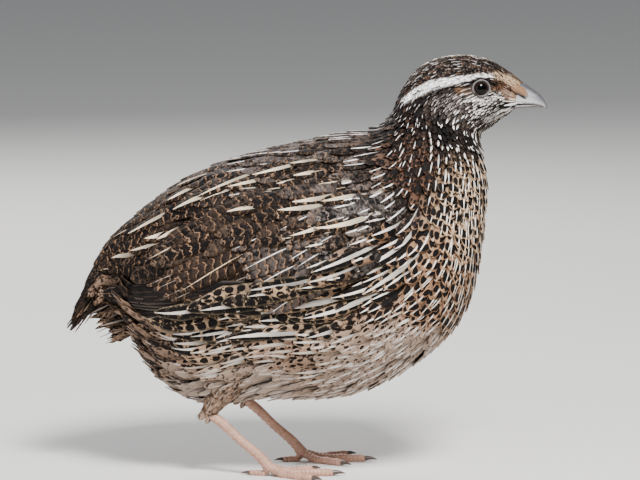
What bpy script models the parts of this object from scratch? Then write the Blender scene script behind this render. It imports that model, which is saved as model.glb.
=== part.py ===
"""A female coturnix quail at life size, standing with its head up, in separate solids.

+X points where the bill points, +Y to the bird's left and +Z up. The floor is Z = 0, and the origin
is under the middle of the bird. Sizes are in millimetres, and a mesh is scaled to metres as it is made.
"""

import math
from collections import namedtuple

import bmesh
import bpy
import numpy as np
from mathutils import Vector

MM = 0.001
GAP = 0.3  # between two solids that touch
SIDES = {"left": 1.0, "right": -1.0}

# The body is a loft of sections from the tail root to the bill. Each section is a plane across the bird,
# given by where it meets the outline of the back and of the belly, as (x, z), and by its half width.
Section = namedtuple("Section", "back belly half_width")
TAIL_ROOT = Section((-69.0, 73.7), (-65.0, 56.3), 8.0)
RUMP = Section((-57.3, 86.1), (-48.9, 32.8), 21.0)
LOIN = Section((-36.1, 100.8), (-18.7, 24.1), 30.0)
BACK = Section((-5.3, 110.2), (14.8, 25.5), 33.2)
SHOULDER = Section((13.1, 114.1), (37.6, 36.5), 32.0)
BREAST = Section((22.1, 115.7), (53.0, 52.6), 28.0)
CROP = Section((26.8, 118.6), (60.3, 86.1), 20.5)
NECK_BASE = Section((29.2, 121.9), (60.0, 104.5), 16.0)
THROAT = Section((30.5, 125.3), (58.3, 112.6), 13.0)
NAPE = Section((33.2, 130.6), (60.7, 115.2), 11.6)
CHEEK = Section((40.2, 137.3), (63.7, 117.4), 10.9)
EYE = Section((51.6, 139.9), (65.9, 119.1), 8.9)
LORE = Section((62.3, 137.7), (67.9, 120.6), 6.3)
BILL_BASE = Section((71.4, 131.5), (69.7, 122.1), 3.6)
TORSO = [TAIL_ROOT, RUMP, LOIN, BACK, SHOULDER, BREAST, CROP]
BODY = [*TORSO, NECK_BASE, THROAT, NAPE, CHEEK, EYE, LORE, BILL_BASE]
ROUNDNESS = 2.2  # of a section: 2 is an ellipse, more is squarer

# Cuts between torso, neck and head: between which two sections, and how far from the first.
NECK_CUT = (CROP, NECK_BASE, 0.55)
HEAD_CUT = (THROAT, NAPE, 0.45)

# Swellings of the head: section, how far past it, turn and reach both ways, and height.
Swelling = namedtuple("Swelling", "section past turn reach turn_reach height")
SWELLINGS = [
    Swelling(EYE, 0.5, 62.0, 6.0, 16.0, 0.75),  # brow
    Swelling(CHEEK, 1.0, 116.0, 5.5, 24.0, 0.8),  # cheek
    Swelling(LORE, 0.5, 88.0, 3.6, 22.0, -0.7),  # hollow before the eye
    Swelling(LORE, -1.5, 140.0, 5.0, 22.0, 0.4),  # jaw
]

# The eye: the middle of the eyeball as (x, distance from the midline, z), and the way that it looks.
EYEBALL_RADIUS = 3.3
EYE_AT = (57.8, 6.5, 129.2)
EYE_FORWARD, EYE_UP = math.radians(14.0), math.radians(5.0)
LID_THICKNESS = 0.45
LID_OPENING = 2.5
LID_WIRE = 0.34

# The bill's two halves, each from the plane it shares with the head to its tip: ridge, mouth line
# and half width of the upper half, then mouth line, chin ridge and half width of the lower one.
UPPER_BILL = [
    Section((71.66, 131.2), (70.32, 123.8), 3.5),
    Section((73.6, 130.0), (72.6, 123.8), 3.1),
    Section((75.8, 128.5), (75.0, 123.8), 2.5),
    Section((77.8, 126.9), (77.0, 123.6), 1.9),
    Section((79.3, 125.0), (78.7, 123.2), 1.2),
    Section((80.4, 122.9), (80.0, 122.1), 0.35),
]
LOWER_BILL = [
    Section((70.26, 123.45), (69.96, 121.9), 2.7),
    Section((73.2, 123.45), (73.0, 122.2), 2.3),
    Section((75.9, 123.4), (75.8, 122.4), 1.7),
    Section((78.0, 123.0), (77.9, 122.4), 1.0),
]
NOSTRIL = [(72.3, 127.3), (73.4, 126.7), (74.4, 125.9)]
NOSTRIL_WIDTH, NOSTRIL_TAPER, NOSTRIL_RADIUS = 2.95, 0.3, 0.4
MOUTH_LINE = [(63.8, 122.6), (66.0, 123.3), (68.2, 123.6), (72.0, 123.6)]
MOUTH_RADIUS = 0.35

# The folded wing is laid out on the bird's side, in (x, z), and follows the body's surface from there.
WRIST = (29.5, 85.5)
WING_TIP = (-65.0, 62.6)
WING_UPPER_EDGE = [WRIST, (17.0, 98.5), (-10.0, 99.0), (-35.0, 88.0), (-54.0, 73.5), WING_TIP]
WING_LOWER_EDGE = [WRIST, (19.0, 69.0), (-3.0, 61.0), (-28.0, 52.5), (-50.0, 51.5), WING_TIP]
WING_THICKNESS, WING_EDGE = 2.4, 0.6  # in the middle of the lens, and what its edge has
WING_ENDS, WING_REACH = (0.08, 0.6), 0.9  # of the lens along the wing, and from its middle to its edges
WING_CLEARANCE = 0.5  # from the body out to the wing's inner face

# The wing's feathers in tiers, from the primaries outwards over the coverts to the scapulars. A tier's
# feathers run from its first to its last, and lie higher on the body the later the tier comes.
Tier = namedtuple("Tier", "count first_root first_tip last_root last_tip half_width lift bow")
PRIMARIES = Tier(5, (-6, 66), (-65, 61.5), (2, 63), (-47, 51), 2.3, 1.7, 1.0)
SECONDARIES = Tier(6, (4, 87), (-55, 73), (6, 67), (-36, 56), 3.1, 2.6, 2.5)
GREATER_COVERTS = Tier(6, (9, 88), (-26, 83), (12, 69), (-15, 58), 3.2, 3.5, 2.0)
MEDIAN_COVERTS = Tier(5, (18, 89), (-4, 88), (20, 73), (4, 63), 3.5, 4.3, 1.5)
SCAPULARS_LOW = Tier(5, (14, 88), (-15, 87), (-20, 84), (-46, 74.5), 3.6, 4.4, 1.5)
SCAPULARS_HIGH = Tier(6, (14, 94.5), (-13, 95.5), (-24, 88), (-51, 79), 3.5, 5.0, 1.5)
WING_TIERS = [PRIMARIES, SECONDARIES, GREATER_COVERTS, MEDIAN_COVERTS, SCAPULARS_LOW, SCAPULARS_HIGH]
ROOT_LIFT = 1.3  # of a wing feather's root, inside the wing's core
VANE_THICKNESS, VANE_CAMBER, VANE_ROLL = 0.5, 0.3, 0.5
VANE_WIDTHS = [(0.0, 0.5), (0.3, 0.95), (0.62, 1.0), (0.88, 0.85), (1.0, 0.4)]  # along it, of half width
VANE_RINGS = [0.0, 0.3, 0.62, 0.88, 1.0]
LONG_VANE, LONG_VANE_RINGS = 40.0, [0.0, 0.2, 0.4, 0.6, 0.78, 0.92, 1.0]
FEATHER_SPREAD = 0.6  # of a tip from its place in the tier
FEATHER_SEED = 7

# The tail's core past the tail root, and its feathers over it: how many, root and tip as (x, z), how far
# the tips spread from the midline, and the way that they face: up, or down under the tail.
TAIL_CORE = [
    Section((-72.0, 67.0), (-69.6, 55.6), 7.0),
    Section((-75.2, 59.2), (-73.6, 54.6), 6.0),
]
Fan = namedtuple("Fan", "count root tip root_spread tip_spread half_width faces")
TAIL_FANS = [
    Fan(8, (-69.0, 64.0), (-80.2, 49.2), 4.0, 7.0, 1.7, 1),
    Fan(5, (-69.2, 67.6), (-77.0, 56.2), 4.0, 6.0, 2.2, 1),
    Fan(4, (-69.8, 70.6), (-74.4, 63.0), 3.4, 5.0, 2.2, 1),
    Fan(4, (-68.2, 59.0), (-76.6, 49.9), 3.2, 4.6, 1.9, -1),
]
FAN_STEP = 0.35  # from the middle feather down to the next
FAN_ROUND, FAN_TILT = 1.2, 0.35  # how much shorter the outer feathers are, and how far they face outwards
TAIL_INSET = 0.4  # of the tail's core behind the torso's edge

# The legs: hock and foot joint on each side as (x, z), and their distance from the midline.
LEG_SPREAD = 14.0
HOCK = {"left": (-22.0, 22.0), "right": (-32.0, 21.5)}
FOOT = {"left": (-1.5, 3.4), "right": (-11.5, 3.4)}
KNEE_FORE, KNEE_UP = 15.0, 24.0
SHANK_TOP, SHANK_FOOT = 2.5, 3.0  # of bare leg above the hock, and from the foot joint up to the cut
THIGH_SHARES, THIGH_RADII = (0.0, 0.15, 0.35, 0.6, 0.85), (2.2, 3.6, 5.6, 7.4, 7.0)  # from the hock up
HOCK_REACH, ANKLE_REACH = 2.6, 2.0  # how far the swelling of each joint goes along the shank
SHANK_RADII = (1.9, 2.0, 1.6, 1.45, 1.5, 1.75)  # from above the hock down to the foot
SCUTES, SCUTE_LENGTH, SCUTE_RADII, SCUTE_FRONT = 12, 1.55, (1.15, 1.32), 0.45
FIRST_SCUTE, LAST_SCUTE = 0.1, 0.9  # along the shank
STUB_REACH, STUB_RADII = 1.2, (1.75, 1.9, 1.9)  # of the foot's stub, above and below its joint
Toe = namedtuple("Toe", "name heading length radius")
TOES = [
    Toe("inner", 33.0, 16.0, 1.3),
    Toe("middle", 2.0, 21.0, 1.4),
    Toe("outer", -31.0, 17.0, 1.3),
    Toe("hind", 168.0, 7.0, 1.05),
]
CLAW_LENGTH, CLAW_ARCH, CLAW_DROP = 4.2, 0.35, 0.25
TOE_SHARES = (0.0, 0.2, 0.34, 0.5, 0.62, 0.78, 0.9, 1.0)
TOE_PADS = (1.1, 1.0, 1.12, 0.9, 1.1, 0.88, 1.02, 0.72)  # thickness there, of the toe's radius
TOE_SINK = 0.6  # of a toe's root below the foot joint
CLAW_ROOT, CLAW_TAPER = 0.72, 0.8  # a claw's radius at its root, of its toe's, and how much it narrows
SOLE_CUT = 0.35  # of each toe's thickness, flattened by the floor

COLOURS = {
    "head_feather": (0.30, 0.22, 0.16),
    "neck_feather": (0.33, 0.22, 0.14),
    "body_feather": (0.45, 0.35, 0.26),
    "wing_feather": (0.24, 0.18, 0.13),
    "tail_feather": (0.16, 0.12, 0.09),
    "bill_horn": (0.42, 0.40, 0.40),
    "eye": (0.05, 0.03, 0.02),
    "leg_skin": (0.62, 0.45, 0.36),
    "claw_horn": (0.30, 0.24, 0.20),
}
ROUGHNESS = {"eye": 0.08, "bill_horn": 0.4, "leg_skin": 0.55, "claw_horn": 0.4}
FEATHER_ROUGHNESS = 0.8


def natural_spline(knots, values):
    """A function that passes through the values at the knots with no break in its curvature."""
    knots, values = np.asarray(knots, float), np.asarray(values, float)
    step = np.diff(knots)
    slope = np.diff(values, axis=0) / step[:, None]
    count = len(knots)
    system, right = np.eye(count), np.zeros_like(values)
    for i in range(1, count - 1):
        system[i, i - 1 : i + 2] = step[i - 1], 2 * (step[i - 1] + step[i]), step[i]
        right[i] = 6 * (slope[i] - slope[i - 1])
    bend = np.linalg.solve(system, right)

    def at(place):
        place = np.asarray(place, float)
        i = np.clip(np.searchsorted(knots, place) - 1, 0, count - 2)
        h = step[i][..., None]
        a = (knots[i + 1] - place)[..., None] / h
        b = 1 - a
        curve = (a**3 - a) * bend[i] + (b**3 - b) * bend[i + 1]
        return a * values[i] + b * values[i + 1] + curve * h**2 / 6

    return at


def even_spline(values):
    """A natural spline through the values, from 0 at the first to 1 at the last."""
    return natural_spline(np.linspace(0, 1, len(values)), values)


MIDDLES = np.array([np.add(s.back, s.belly) / 2 for s in BODY])
STATIONS = np.concatenate([[0], np.cumsum(np.linalg.norm(np.diff(MIDDLES, axis=0), axis=1))])
BODY_SPLINE = natural_spline(STATIONS, [[*s.back, *s.belly, s.half_width] for s in BODY])


def station(section, past=0.0):
    """How far along the body's middle line a section is from the tail root."""
    return float(STATIONS[BODY.index(section)]) + past


def cut_station(cut):
    behind, ahead, share = cut
    return station(behind) + share * (station(ahead) - station(behind))


def superellipse(turn):
    """(up, side) of the unit section at a turn from its top."""
    up, side = np.cos(turn), np.sin(turn)
    radius = (np.abs(up) ** ROUNDNESS + np.abs(side) ** ROUNDNESS) ** (-1 / ROUNDNESS)
    return radius * up, radius * side


def section_point(back, belly, half_width, turn):
    up, side = superellipse(turn)
    flat = (back + belly) / 2 + up[..., None] * (back - belly) / 2
    return np.stack([flat[..., 0], half_width * side, flat[..., 1]], axis=-1)


def plain_point(along, turn):
    numbers = BODY_SPLINE(along)
    return section_point(numbers[..., 0:2], numbers[..., 2:4], numbers[..., 4], turn)


def body_normal(along, turn):
    step = 0.01
    by_length = plain_point(along + step, turn) - plain_point(along - step, turn)
    by_turn = plain_point(along, turn + step) - plain_point(along, turn - step)
    normal = np.cross(by_length, by_turn)
    return normal / np.linalg.norm(normal, axis=-1, keepdims=True)


def head_relief(along, turn):
    """How far the head's swellings raise the surface."""
    raised = 0
    for s in SWELLINGS:
        off_length = (along - station(s.section, s.past)) / s.reach
        off_turn = (np.degrees(np.abs(turn)) - s.turn) / s.turn_reach
        raised = raised + s.height * np.exp(-(off_length**2) - off_turn**2)
    return raised


def body_point(along, turn, lift=0.0):
    """A point on the body: turn is 0 on the back and pi on the belly, and negative on the bird's right."""
    along, turn = np.broadcast_arrays(np.asarray(along, float), np.asarray(turn, float))
    out = (lift + head_relief(along, turn))[..., None]
    return plain_point(along, turn) + body_normal(along, turn) * out


def place_on_side(points):
    """The (along, turn) of the bird's left side where it shows at each (x, z), seen from the side."""
    points = np.atleast_2d(points)
    along = np.linspace(0, station(BILL_BASE), 1200)
    numbers = BODY_SPLINE(along)
    back, belly = numbers[:, 0:2], numbers[:, 2:4]
    off = points[:, None] - back
    down = belly - back
    ahead = down[:, 0] * off[..., 1] - down[:, 1] * off[..., 0]
    i = np.maximum(np.argmax(ahead < 0, axis=1), 1)
    row = np.arange(len(points))
    share = ahead[row, i - 1] / (ahead[row, i - 1] - ahead[row, i])
    place = along[i - 1] + share * (along[i] - along[i - 1])
    numbers = BODY_SPLINE(place)
    middle = (numbers[:, 0:2] + numbers[:, 2:4]) / 2
    half = numbers[:, 0:2] - middle
    up = np.clip(((points - middle) * half).sum(1) / (half**2).sum(1), -0.98, 0.98)
    side = (1 - np.abs(up) ** ROUNDNESS) ** (1 / ROUNDNESS)
    return place, np.arctan2(side, up)


def on_side(points, side, lift):
    """Points on one side of the bird, at each (x, z) seen from the side, and the surface's normals there."""
    along, turn = place_on_side(points)
    return body_point(along, turn * side, lift), body_normal(along, turn * side)


def new_object(name, points, faces):
    mesh = bpy.data.meshes.new(name)
    mesh.from_pydata((np.asarray(points) * MM).tolist(), [], faces)
    shape = bmesh.new()
    shape.from_mesh(mesh)
    bmesh.ops.recalc_face_normals(shape, faces=shape.faces)
    shape.to_mesh(mesh)
    shape.free()
    made = bpy.data.objects.new(name, mesh)
    bpy.context.scene.collection.objects.link(made)
    return made


def loft(name, rings):
    """A closed surface through rings of equally many points, with a flat face on each end."""
    count = len(rings[0])
    faces = [list(range(count)), list(range((len(rings) - 1) * count, len(rings) * count))]
    for i in range(len(rings) - 1):
        for j in range(count):
            k = (j + 1) % count
            faces.append([i * count + j, i * count + k, (i + 1) * count + k, (i + 1) * count + j])
    return new_object(name, np.concatenate(rings), faces)


def baked(shape):
    """Replaces an object's mesh by what its modifiers make of it, and keeps its largest closed surface."""
    bpy.context.view_layer.update()
    graph = bpy.context.evaluated_depsgraph_get()
    mesh = bpy.data.meshes.new_from_object(shape.evaluated_get(graph))
    shape.modifiers.clear()
    shape.data = mesh
    keep_largest(mesh)
    return shape


def keep_largest(mesh):
    edit = bmesh.new()
    edit.from_mesh(mesh)
    left, bodies = set(edit.faces), []
    while left:
        body, edge = set(), [left.pop()]
        while edge:
            face = edge.pop()
            body.add(face)
            for near in {f for e in face.edges for f in e.link_faces} & left:
                left.discard(near)
                edge.append(near)
        bodies.append(body)
    bodies.sort(key=lambda body: sum(f.calc_area() for f in body))
    loose = [f for body in bodies[:-1] for f in body]
    bmesh.ops.delete(edit, geom=loose, context="FACES")
    edit.to_mesh(mesh)
    edit.free()


def combine(shape, others, operation, solver="EXACT"):
    """Joins the other objects to the shape, or cuts them from it, in one Boolean, and removes them."""
    collection = bpy.data.collections.new(shape.name + "_tools")
    bpy.context.scene.collection.children.link(collection)
    for other in others:
        for home in list(other.users_collection):
            home.objects.unlink(other)
        collection.objects.link(other)
    boolean = shape.modifiers.new("combine", "BOOLEAN")
    boolean.operation = operation
    boolean.operand_type = "COLLECTION"
    boolean.collection = collection
    boolean.solver = solver
    baked(shape)
    for other in others:
        bpy.data.objects.remove(other)
    bpy.data.collections.remove(collection)
    return shape


def tube(name, path, radii, sides=2):
    """A round, closed tube along the path, as a mesh, with a radius at each point."""
    curve = bpy.data.curves.new(name, "CURVE")
    curve.dimensions = "3D"
    curve.bevel_depth = MM
    curve.bevel_resolution = sides
    curve.use_fill_caps = True
    line = curve.splines.new("POLY")
    line.points.add(len(path) - 1)
    for point, place, radius in zip(line.points, path, radii):
        point.co = (*(np.asarray(place) * MM), 1.0)
        point.radius = radius
    guide = bpy.data.objects.new(name, curve)
    bpy.context.scene.collection.objects.link(guide)
    bpy.context.view_layer.update()
    graph = bpy.context.evaluated_depsgraph_get()
    mesh = bpy.data.meshes.new_from_object(guide.evaluated_get(graph))
    made = bpy.data.objects.new(name, mesh)
    made.matrix_world = guide.matrix_world
    bpy.context.scene.collection.objects.link(made)
    bpy.data.objects.remove(guide)
    edit = bmesh.new()
    edit.from_mesh(mesh)
    bmesh.ops.remove_doubles(edit, verts=edit.verts, dist=0.001 * MM)
    bmesh.ops.recalc_face_normals(edit, faces=edit.faces)
    edit.to_mesh(mesh)
    edit.free()
    made.name = name
    return made


def finish(shape, name, slot):
    """Names a node and gives it its material."""
    shape.name = shape.data.name = name
    material = bpy.data.materials.get(slot)
    if material is None:
        material = bpy.data.materials.new(slot)
        material.use_nodes = True
        look = material.node_tree.nodes["Principled BSDF"]
        look.inputs["Base Color"].default_value = (*COLOURS[slot], 1.0)
        look.inputs["Roughness"].default_value = ROUGHNESS.get(slot, FEATHER_ROUGHNESS)
    shape.data.materials.clear()
    shape.data.materials.append(material)
    shape.data.shade_smooth()
    shape.data.set_sharp_from_angle(angle=math.radians(50))
    for home in list(shape.users_collection):
        home.objects.unlink(shape)
    bpy.data.collections["quail"].objects.link(shape)
    return shape


def body_rings(start, end, count, around, lift=0.0, gap_start=0.0, gap_end=0.0):
    """Rings of the body between two stations. A gap moves that end's ring inwards, square to its plane."""
    turns = np.linspace(-math.pi, math.pi, around, endpoint=False)
    rings = [body_point(np.full(around, along), turns, lift) for along in np.linspace(start, end, count)]
    for ring, gap in ((rings[0], gap_start), (rings[-1], -gap_end)):
        ring += section_normal(ring) * gap
    return rings


def section_normal(ring):
    """The direction towards the bill that a flat ring faces."""
    across = ring[len(ring) // 4] - ring[3 * len(ring) // 4]
    up = ring[len(ring) // 2] - ring[0]
    normal = np.cross(across, up)
    normal /= np.linalg.norm(normal)
    return normal if normal[0] > 0 else -normal


def make_torso():
    rings = body_rings(0.0, cut_station(NECK_CUT), 22, 32)
    return finish(loft("torso", rings), "torso", "body_feather")


def make_neck():
    rings = body_rings(cut_station(NECK_CUT), cut_station(HEAD_CUT), 5, 32, gap_start=GAP, gap_end=GAP)
    return finish(loft("neck", rings), "neck", "neck_feather")


def eye_place(side):
    """The middle of one eyeball, and the direction in which that eye looks."""
    x, y, z = EYE_AT
    flat = math.cos(EYE_UP)
    look = (flat * math.sin(EYE_FORWARD), side * flat * math.cos(EYE_FORWARD), math.sin(EYE_UP))
    return np.array([x, side * y, z]), np.array(look)


def ball(middle, radius, segments, rings):
    bpy.ops.mesh.primitive_uv_sphere_add(
        segments=segments, ring_count=rings, radius=radius * MM, location=middle * MM
    )
    return bpy.context.object


def facing(direction):
    """The rotation that turns +Z to a direction."""
    return Vector(direction).to_track_quat("Z", "Y").to_euler()


def make_head():
    head = loft("head", body_rings(cut_station(HEAD_CUT), station(BILL_BASE), 20, 32))
    added, cut = [], []
    clear = EYEBALL_RADIUS + GAP
    rim_rise = math.sqrt((clear + LID_WIRE) ** 2 - LID_OPENING**2)
    for side in SIDES.values():
        middle, look = eye_place(side)
        added.append(ball(middle, clear + LID_THICKNESS, 18, 11))
        cut.append(ball(middle, clear, 16, 10))
        bpy.ops.mesh.primitive_cylinder_add(
            vertices=16,
            radius=LID_OPENING * MM,
            depth=2 * EYEBALL_RADIUS * MM,
            location=(middle + look * EYEBALL_RADIUS) * MM,
            rotation=facing(look),
        )
        cut.append(bpy.context.object)
        groove, _ = on_side(np.array(MOUTH_LINE[:-1]), side, 0.05)
        end = (MOUTH_LINE[-1][0], groove[-1][1], MOUTH_LINE[-1][1])
        cut.append(tube("mouth_line", [*groove, end], [MOUTH_RADIUS] * len(MOUTH_LINE), 1))
    combine(head, added, "UNION")
    combine(head, cut, "DIFFERENCE")
    rims = []
    for side in SIDES.values():
        middle, look = eye_place(side)
        bpy.ops.mesh.primitive_torus_add(
            major_radius=LID_OPENING * MM,
            minor_radius=LID_WIRE * MM,
            major_segments=16,
            minor_segments=6,
            location=(middle + look * rim_rise) * MM,
            rotation=facing(look),
        )
        rims.append(bpy.context.object)
    combine(head, rims, "UNION")
    return finish(head, "head", "head_feather")


def make_eyes():
    for name, side in SIDES.items():
        middle, _ = eye_place(side)
        finish(ball(middle, EYEBALL_RADIUS, 14, 9), f"eye_{name}", "eye")


def bill_rings(sections, flat_side, count, around):
    """Rings of one half of the bill. Its corners are square on the mouth line, where up is flat_side."""
    spline = even_spline([[*s.back, *s.belly, s.half_width] for s in sections])
    turns = np.linspace(0, 2 * math.pi, around, endpoint=False) + math.pi / around
    up = np.cos(turns)
    squareness = np.where(up * flat_side > 0, 0.12, 1.0)
    up = np.sign(up) * np.abs(up) ** squareness
    rings = []
    for x_top, z_top, x_low, z_low, half_width in spline(np.linspace(0, 1, count)):
        x = (x_top + x_low) / 2 + (x_top - x_low) / 2 * up
        z = (z_top + z_low) / 2 + (z_top - z_low) / 2 * up
        rings.append(np.stack([x, half_width * np.sin(turns), z], axis=-1))
    return rings


def make_bill():
    upper = loft("bill_upper", bill_rings(UPPER_BILL, -1, 10, 16))
    nostrils = []
    for side in SIDES.values():
        path = [(x, side * (NOSTRIL_WIDTH - NOSTRIL_TAPER * i), z) for i, (x, z) in enumerate(NOSTRIL)]
        nostrils.append(tube("nostril", path, [NOSTRIL_RADIUS] * len(NOSTRIL), 1))
    combine(upper, nostrils, "DIFFERENCE")
    finish(upper, "bill_upper", "bill_horn")
    finish(loft("bill_lower", bill_rings(LOWER_BILL, 1, 6, 14)), "bill_lower", "bill_horn")


def vane(name, shares, middle, normal, half_width, roll):
    """A feather as one thin, cambered plate along a path, with the same triangles on both its faces."""
    along = np.gradient(middle, axis=0)
    across = np.cross(normal, along)
    across /= np.linalg.norm(across, axis=1, keepdims=True)
    count = len(middle)
    width = np.interp(shares, *np.transpose(VANE_WIDTHS))
    thickness = VANE_THICKNESS * np.linspace(1.0, 0.75, count)
    points = []
    for i in range(count):
        for place, face in ((-1, 0.5), (0, 0.5), (1, 0.5), (1, -0.5), (0, -0.5), (-1, -0.5)):
            rise = (roll * place - VANE_CAMBER * abs(place)) * width[i] + face * thickness[i]
            points.append(middle[i] + across[i] * place * width[i] * half_width + normal[i] * rise)
    last = 6 * (count - 1)
    faces = [(0, 1, 4, 5), (1, 2, 3, 4), (last, last + 5, last + 4, last + 1)]
    faces.append((last + 1, last + 4, last + 3, last + 2))
    for i in range(0, last, 6):
        for a, b in ((0, 1), (5, 4), (1, 2), (4, 3), (2, 3), (5, 0)):
            faces += [(i + a, i + b, i + 6 + b), (i + a, i + 6 + b, i + 6 + a)]
    return new_object(name, points, faces)


def wing_core(side, columns=14, rows=7):
    """A lens that lies on the body's side between the wing's two edges, thickest near the wrist."""
    upper, lower = even_spline(WING_UPPER_EDGE), even_spline(WING_LOWER_EDGE)
    shares = (1 - np.cos(np.linspace(*WING_ENDS, columns) * math.pi)) / 2
    rings = []
    for share in shares:
        across = np.linspace(-WING_REACH, WING_REACH, rows)
        half = (1 + across)[:, None] / 2
        places = upper(share) * (1 - half) + lower(share) * half
        thickness = WING_EDGE + WING_THICKNESS * (1 - share) * np.sqrt(1 - across**2)
        inner, _ = on_side(places, side, WING_CLEARANCE)
        outer, _ = on_side(places, side, WING_CLEARANCE + thickness)
        rings.append(np.concatenate([outer, inner[::-1]]))
    return loft("wing", rings)


def tier_vanes(tier, side, draws):
    """The feathers of one tier, each laid along the body's side from its root to its tip."""
    vanes = []
    for place in np.linspace(0, 1, tier.count):
        root = np.array(tier.first_root) * (1 - place) + np.array(tier.last_root) * place
        tip = np.array(tier.first_tip) * (1 - place) + np.array(tier.last_tip) * place
        tip = tip + draws.uniform(-FEATHER_SPREAD, FEATHER_SPREAD, 2)
        length = np.linalg.norm(tip - root)
        upward = np.array([(tip - root)[1], -(tip - root)[0]]) / length
        shares = np.array(LONG_VANE_RINGS if length > LONG_VANE else VANE_RINGS)
        bowed = tier.bow * np.sin(math.pi * shares)[:, None] * upward
        places = root + (tip - root) * shares[:, None] + bowed
        lift = tier.lift - (tier.lift - ROOT_LIFT) * (1 - shares) ** 2
        middle, normal = on_side(places, side, lift)
        vanes.append(vane("feather", shares, middle, normal, tier.half_width, VANE_ROLL * side))
    return vanes


def make_wings():
    for name, side in SIDES.items():
        draws = np.random.default_rng(FEATHER_SEED)
        wing = wing_core(side)
        combine(wing, [v for tier in WING_TIERS for v in tier_vanes(tier, side, draws)], "UNION", "MANIFOLD")
        finish(wing, f"wing_{name}", "wing_feather")


def fan_vanes(fan):
    """The feathers of one fan of the tail, from its root out to its tip, the middle ones highest."""
    vanes = []
    shares = np.array(VANE_RINGS)
    for place in np.linspace(-1, 1, fan.count):
        drop = FAN_STEP * fan.count / 2 * abs(place) * fan.faces
        root = np.array([fan.root[0], fan.root_spread * place, fan.root[1] - drop])
        tip_x = fan.tip[0] + FAN_ROUND * abs(place)
        tip = np.array([tip_x, fan.tip_spread * place, fan.tip[1] - drop / 2])
        middle = root + (tip - root) * shares[:, None]
        along = (tip - root) / np.linalg.norm(tip - root)
        normal = np.cross(along, (0, -1, 0)) * fan.faces
        normal = normal / np.linalg.norm(normal) + np.array([0, FAN_TILT * place, 0])
        normal = np.tile(normal / np.linalg.norm(normal), (len(shares), 1))
        vanes.append(vane("feather", shares, middle, normal, fan.half_width, VANE_ROLL * np.sign(place)))
    return vanes


def make_tail():
    root = TAIL_ROOT._replace(half_width=TAIL_ROOT.half_width - TAIL_INSET)
    spline = even_spline([[*s.back, *s.belly, s.half_width] for s in [root, *TAIL_CORE]])
    turns = np.linspace(-math.pi, math.pi, 20, endpoint=False)
    rings = []
    for numbers in spline(np.linspace(0, 1, 5)):
        rings.append(section_point(numbers[0:2], numbers[2:4], numbers[4], turns))
    behind = section_normal(rings[0]) * GAP
    tail = loft("tail", [ring - behind for ring in rings])
    combine(tail, [v for fan in TAIL_FANS for v in fan_vanes(fan)], "UNION", "MANIFOLD")
    return finish(tail, "tail", "tail_feather")


def leg_points(name):
    """(knee, hock, foot) of one leg."""
    y = SIDES[name] * LEG_SPREAD
    hock = np.array([HOCK[name][0], y, HOCK[name][1]])
    foot = np.array([FOOT[name][0], y, FOOT[name][1]])
    return hock + (KNEE_FORE, 0, KNEE_UP), hock, foot


def toward(start, end, distance):
    """The point at a distance from start on the way to end."""
    way = end - start
    return start + way * (distance / np.linalg.norm(way))


def make_thigh(name):
    knee, hock, _ = leg_points(name)
    start = toward(hock, knee, SHANK_TOP + GAP)
    path = [start + (knee - start) * share for share in THIGH_SHARES]
    thigh = tube("thigh", path, THIGH_RADII, 3)
    torso = loft("torso_room", body_rings(-1.0, cut_station(NECK_CUT), 26, 36, lift=GAP))
    combine(thigh, [torso], "DIFFERENCE")
    return finish(thigh, f"thigh_{name}", "body_feather")


def make_shank(name):
    knee, hock, foot = leg_points(name)
    top, bottom = toward(hock, knee, SHANK_TOP), toward(foot, hock, SHANK_FOOT + GAP)
    below_hock, above_foot = toward(hock, foot, HOCK_REACH), toward(bottom, hock, ANKLE_REACH)
    path = [top, hock, below_hock, (hock + foot) / 2, above_foot, bottom]
    shank = tube("shank", path, SHANK_RADII)
    way = (bottom - hock) / np.linalg.norm(bottom - hock)
    front = np.cross(way, (0, -1, 0))
    scutes = []
    for share in np.linspace(FIRST_SCUTE, LAST_SCUTE, SCUTES):
        middle = hock + (bottom - hock) * share + front * SCUTE_FRONT
        bpy.ops.mesh.primitive_cone_add(
            vertices=8,
            radius1=SCUTE_RADII[0] * MM,
            radius2=SCUTE_RADII[1] * MM,
            depth=SCUTE_LENGTH * MM,
            location=middle * MM,
            rotation=facing(way),
        )
        scutes.append(bpy.context.object)
    combine(shank, scutes, "UNION")
    return finish(shank, f"shank_{name}", "leg_skin")


def toe_way(toe, name):
    heading = math.radians(toe.heading) * -SIDES[name]
    return np.array([math.cos(heading), math.sin(heading), 0.0])


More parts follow.
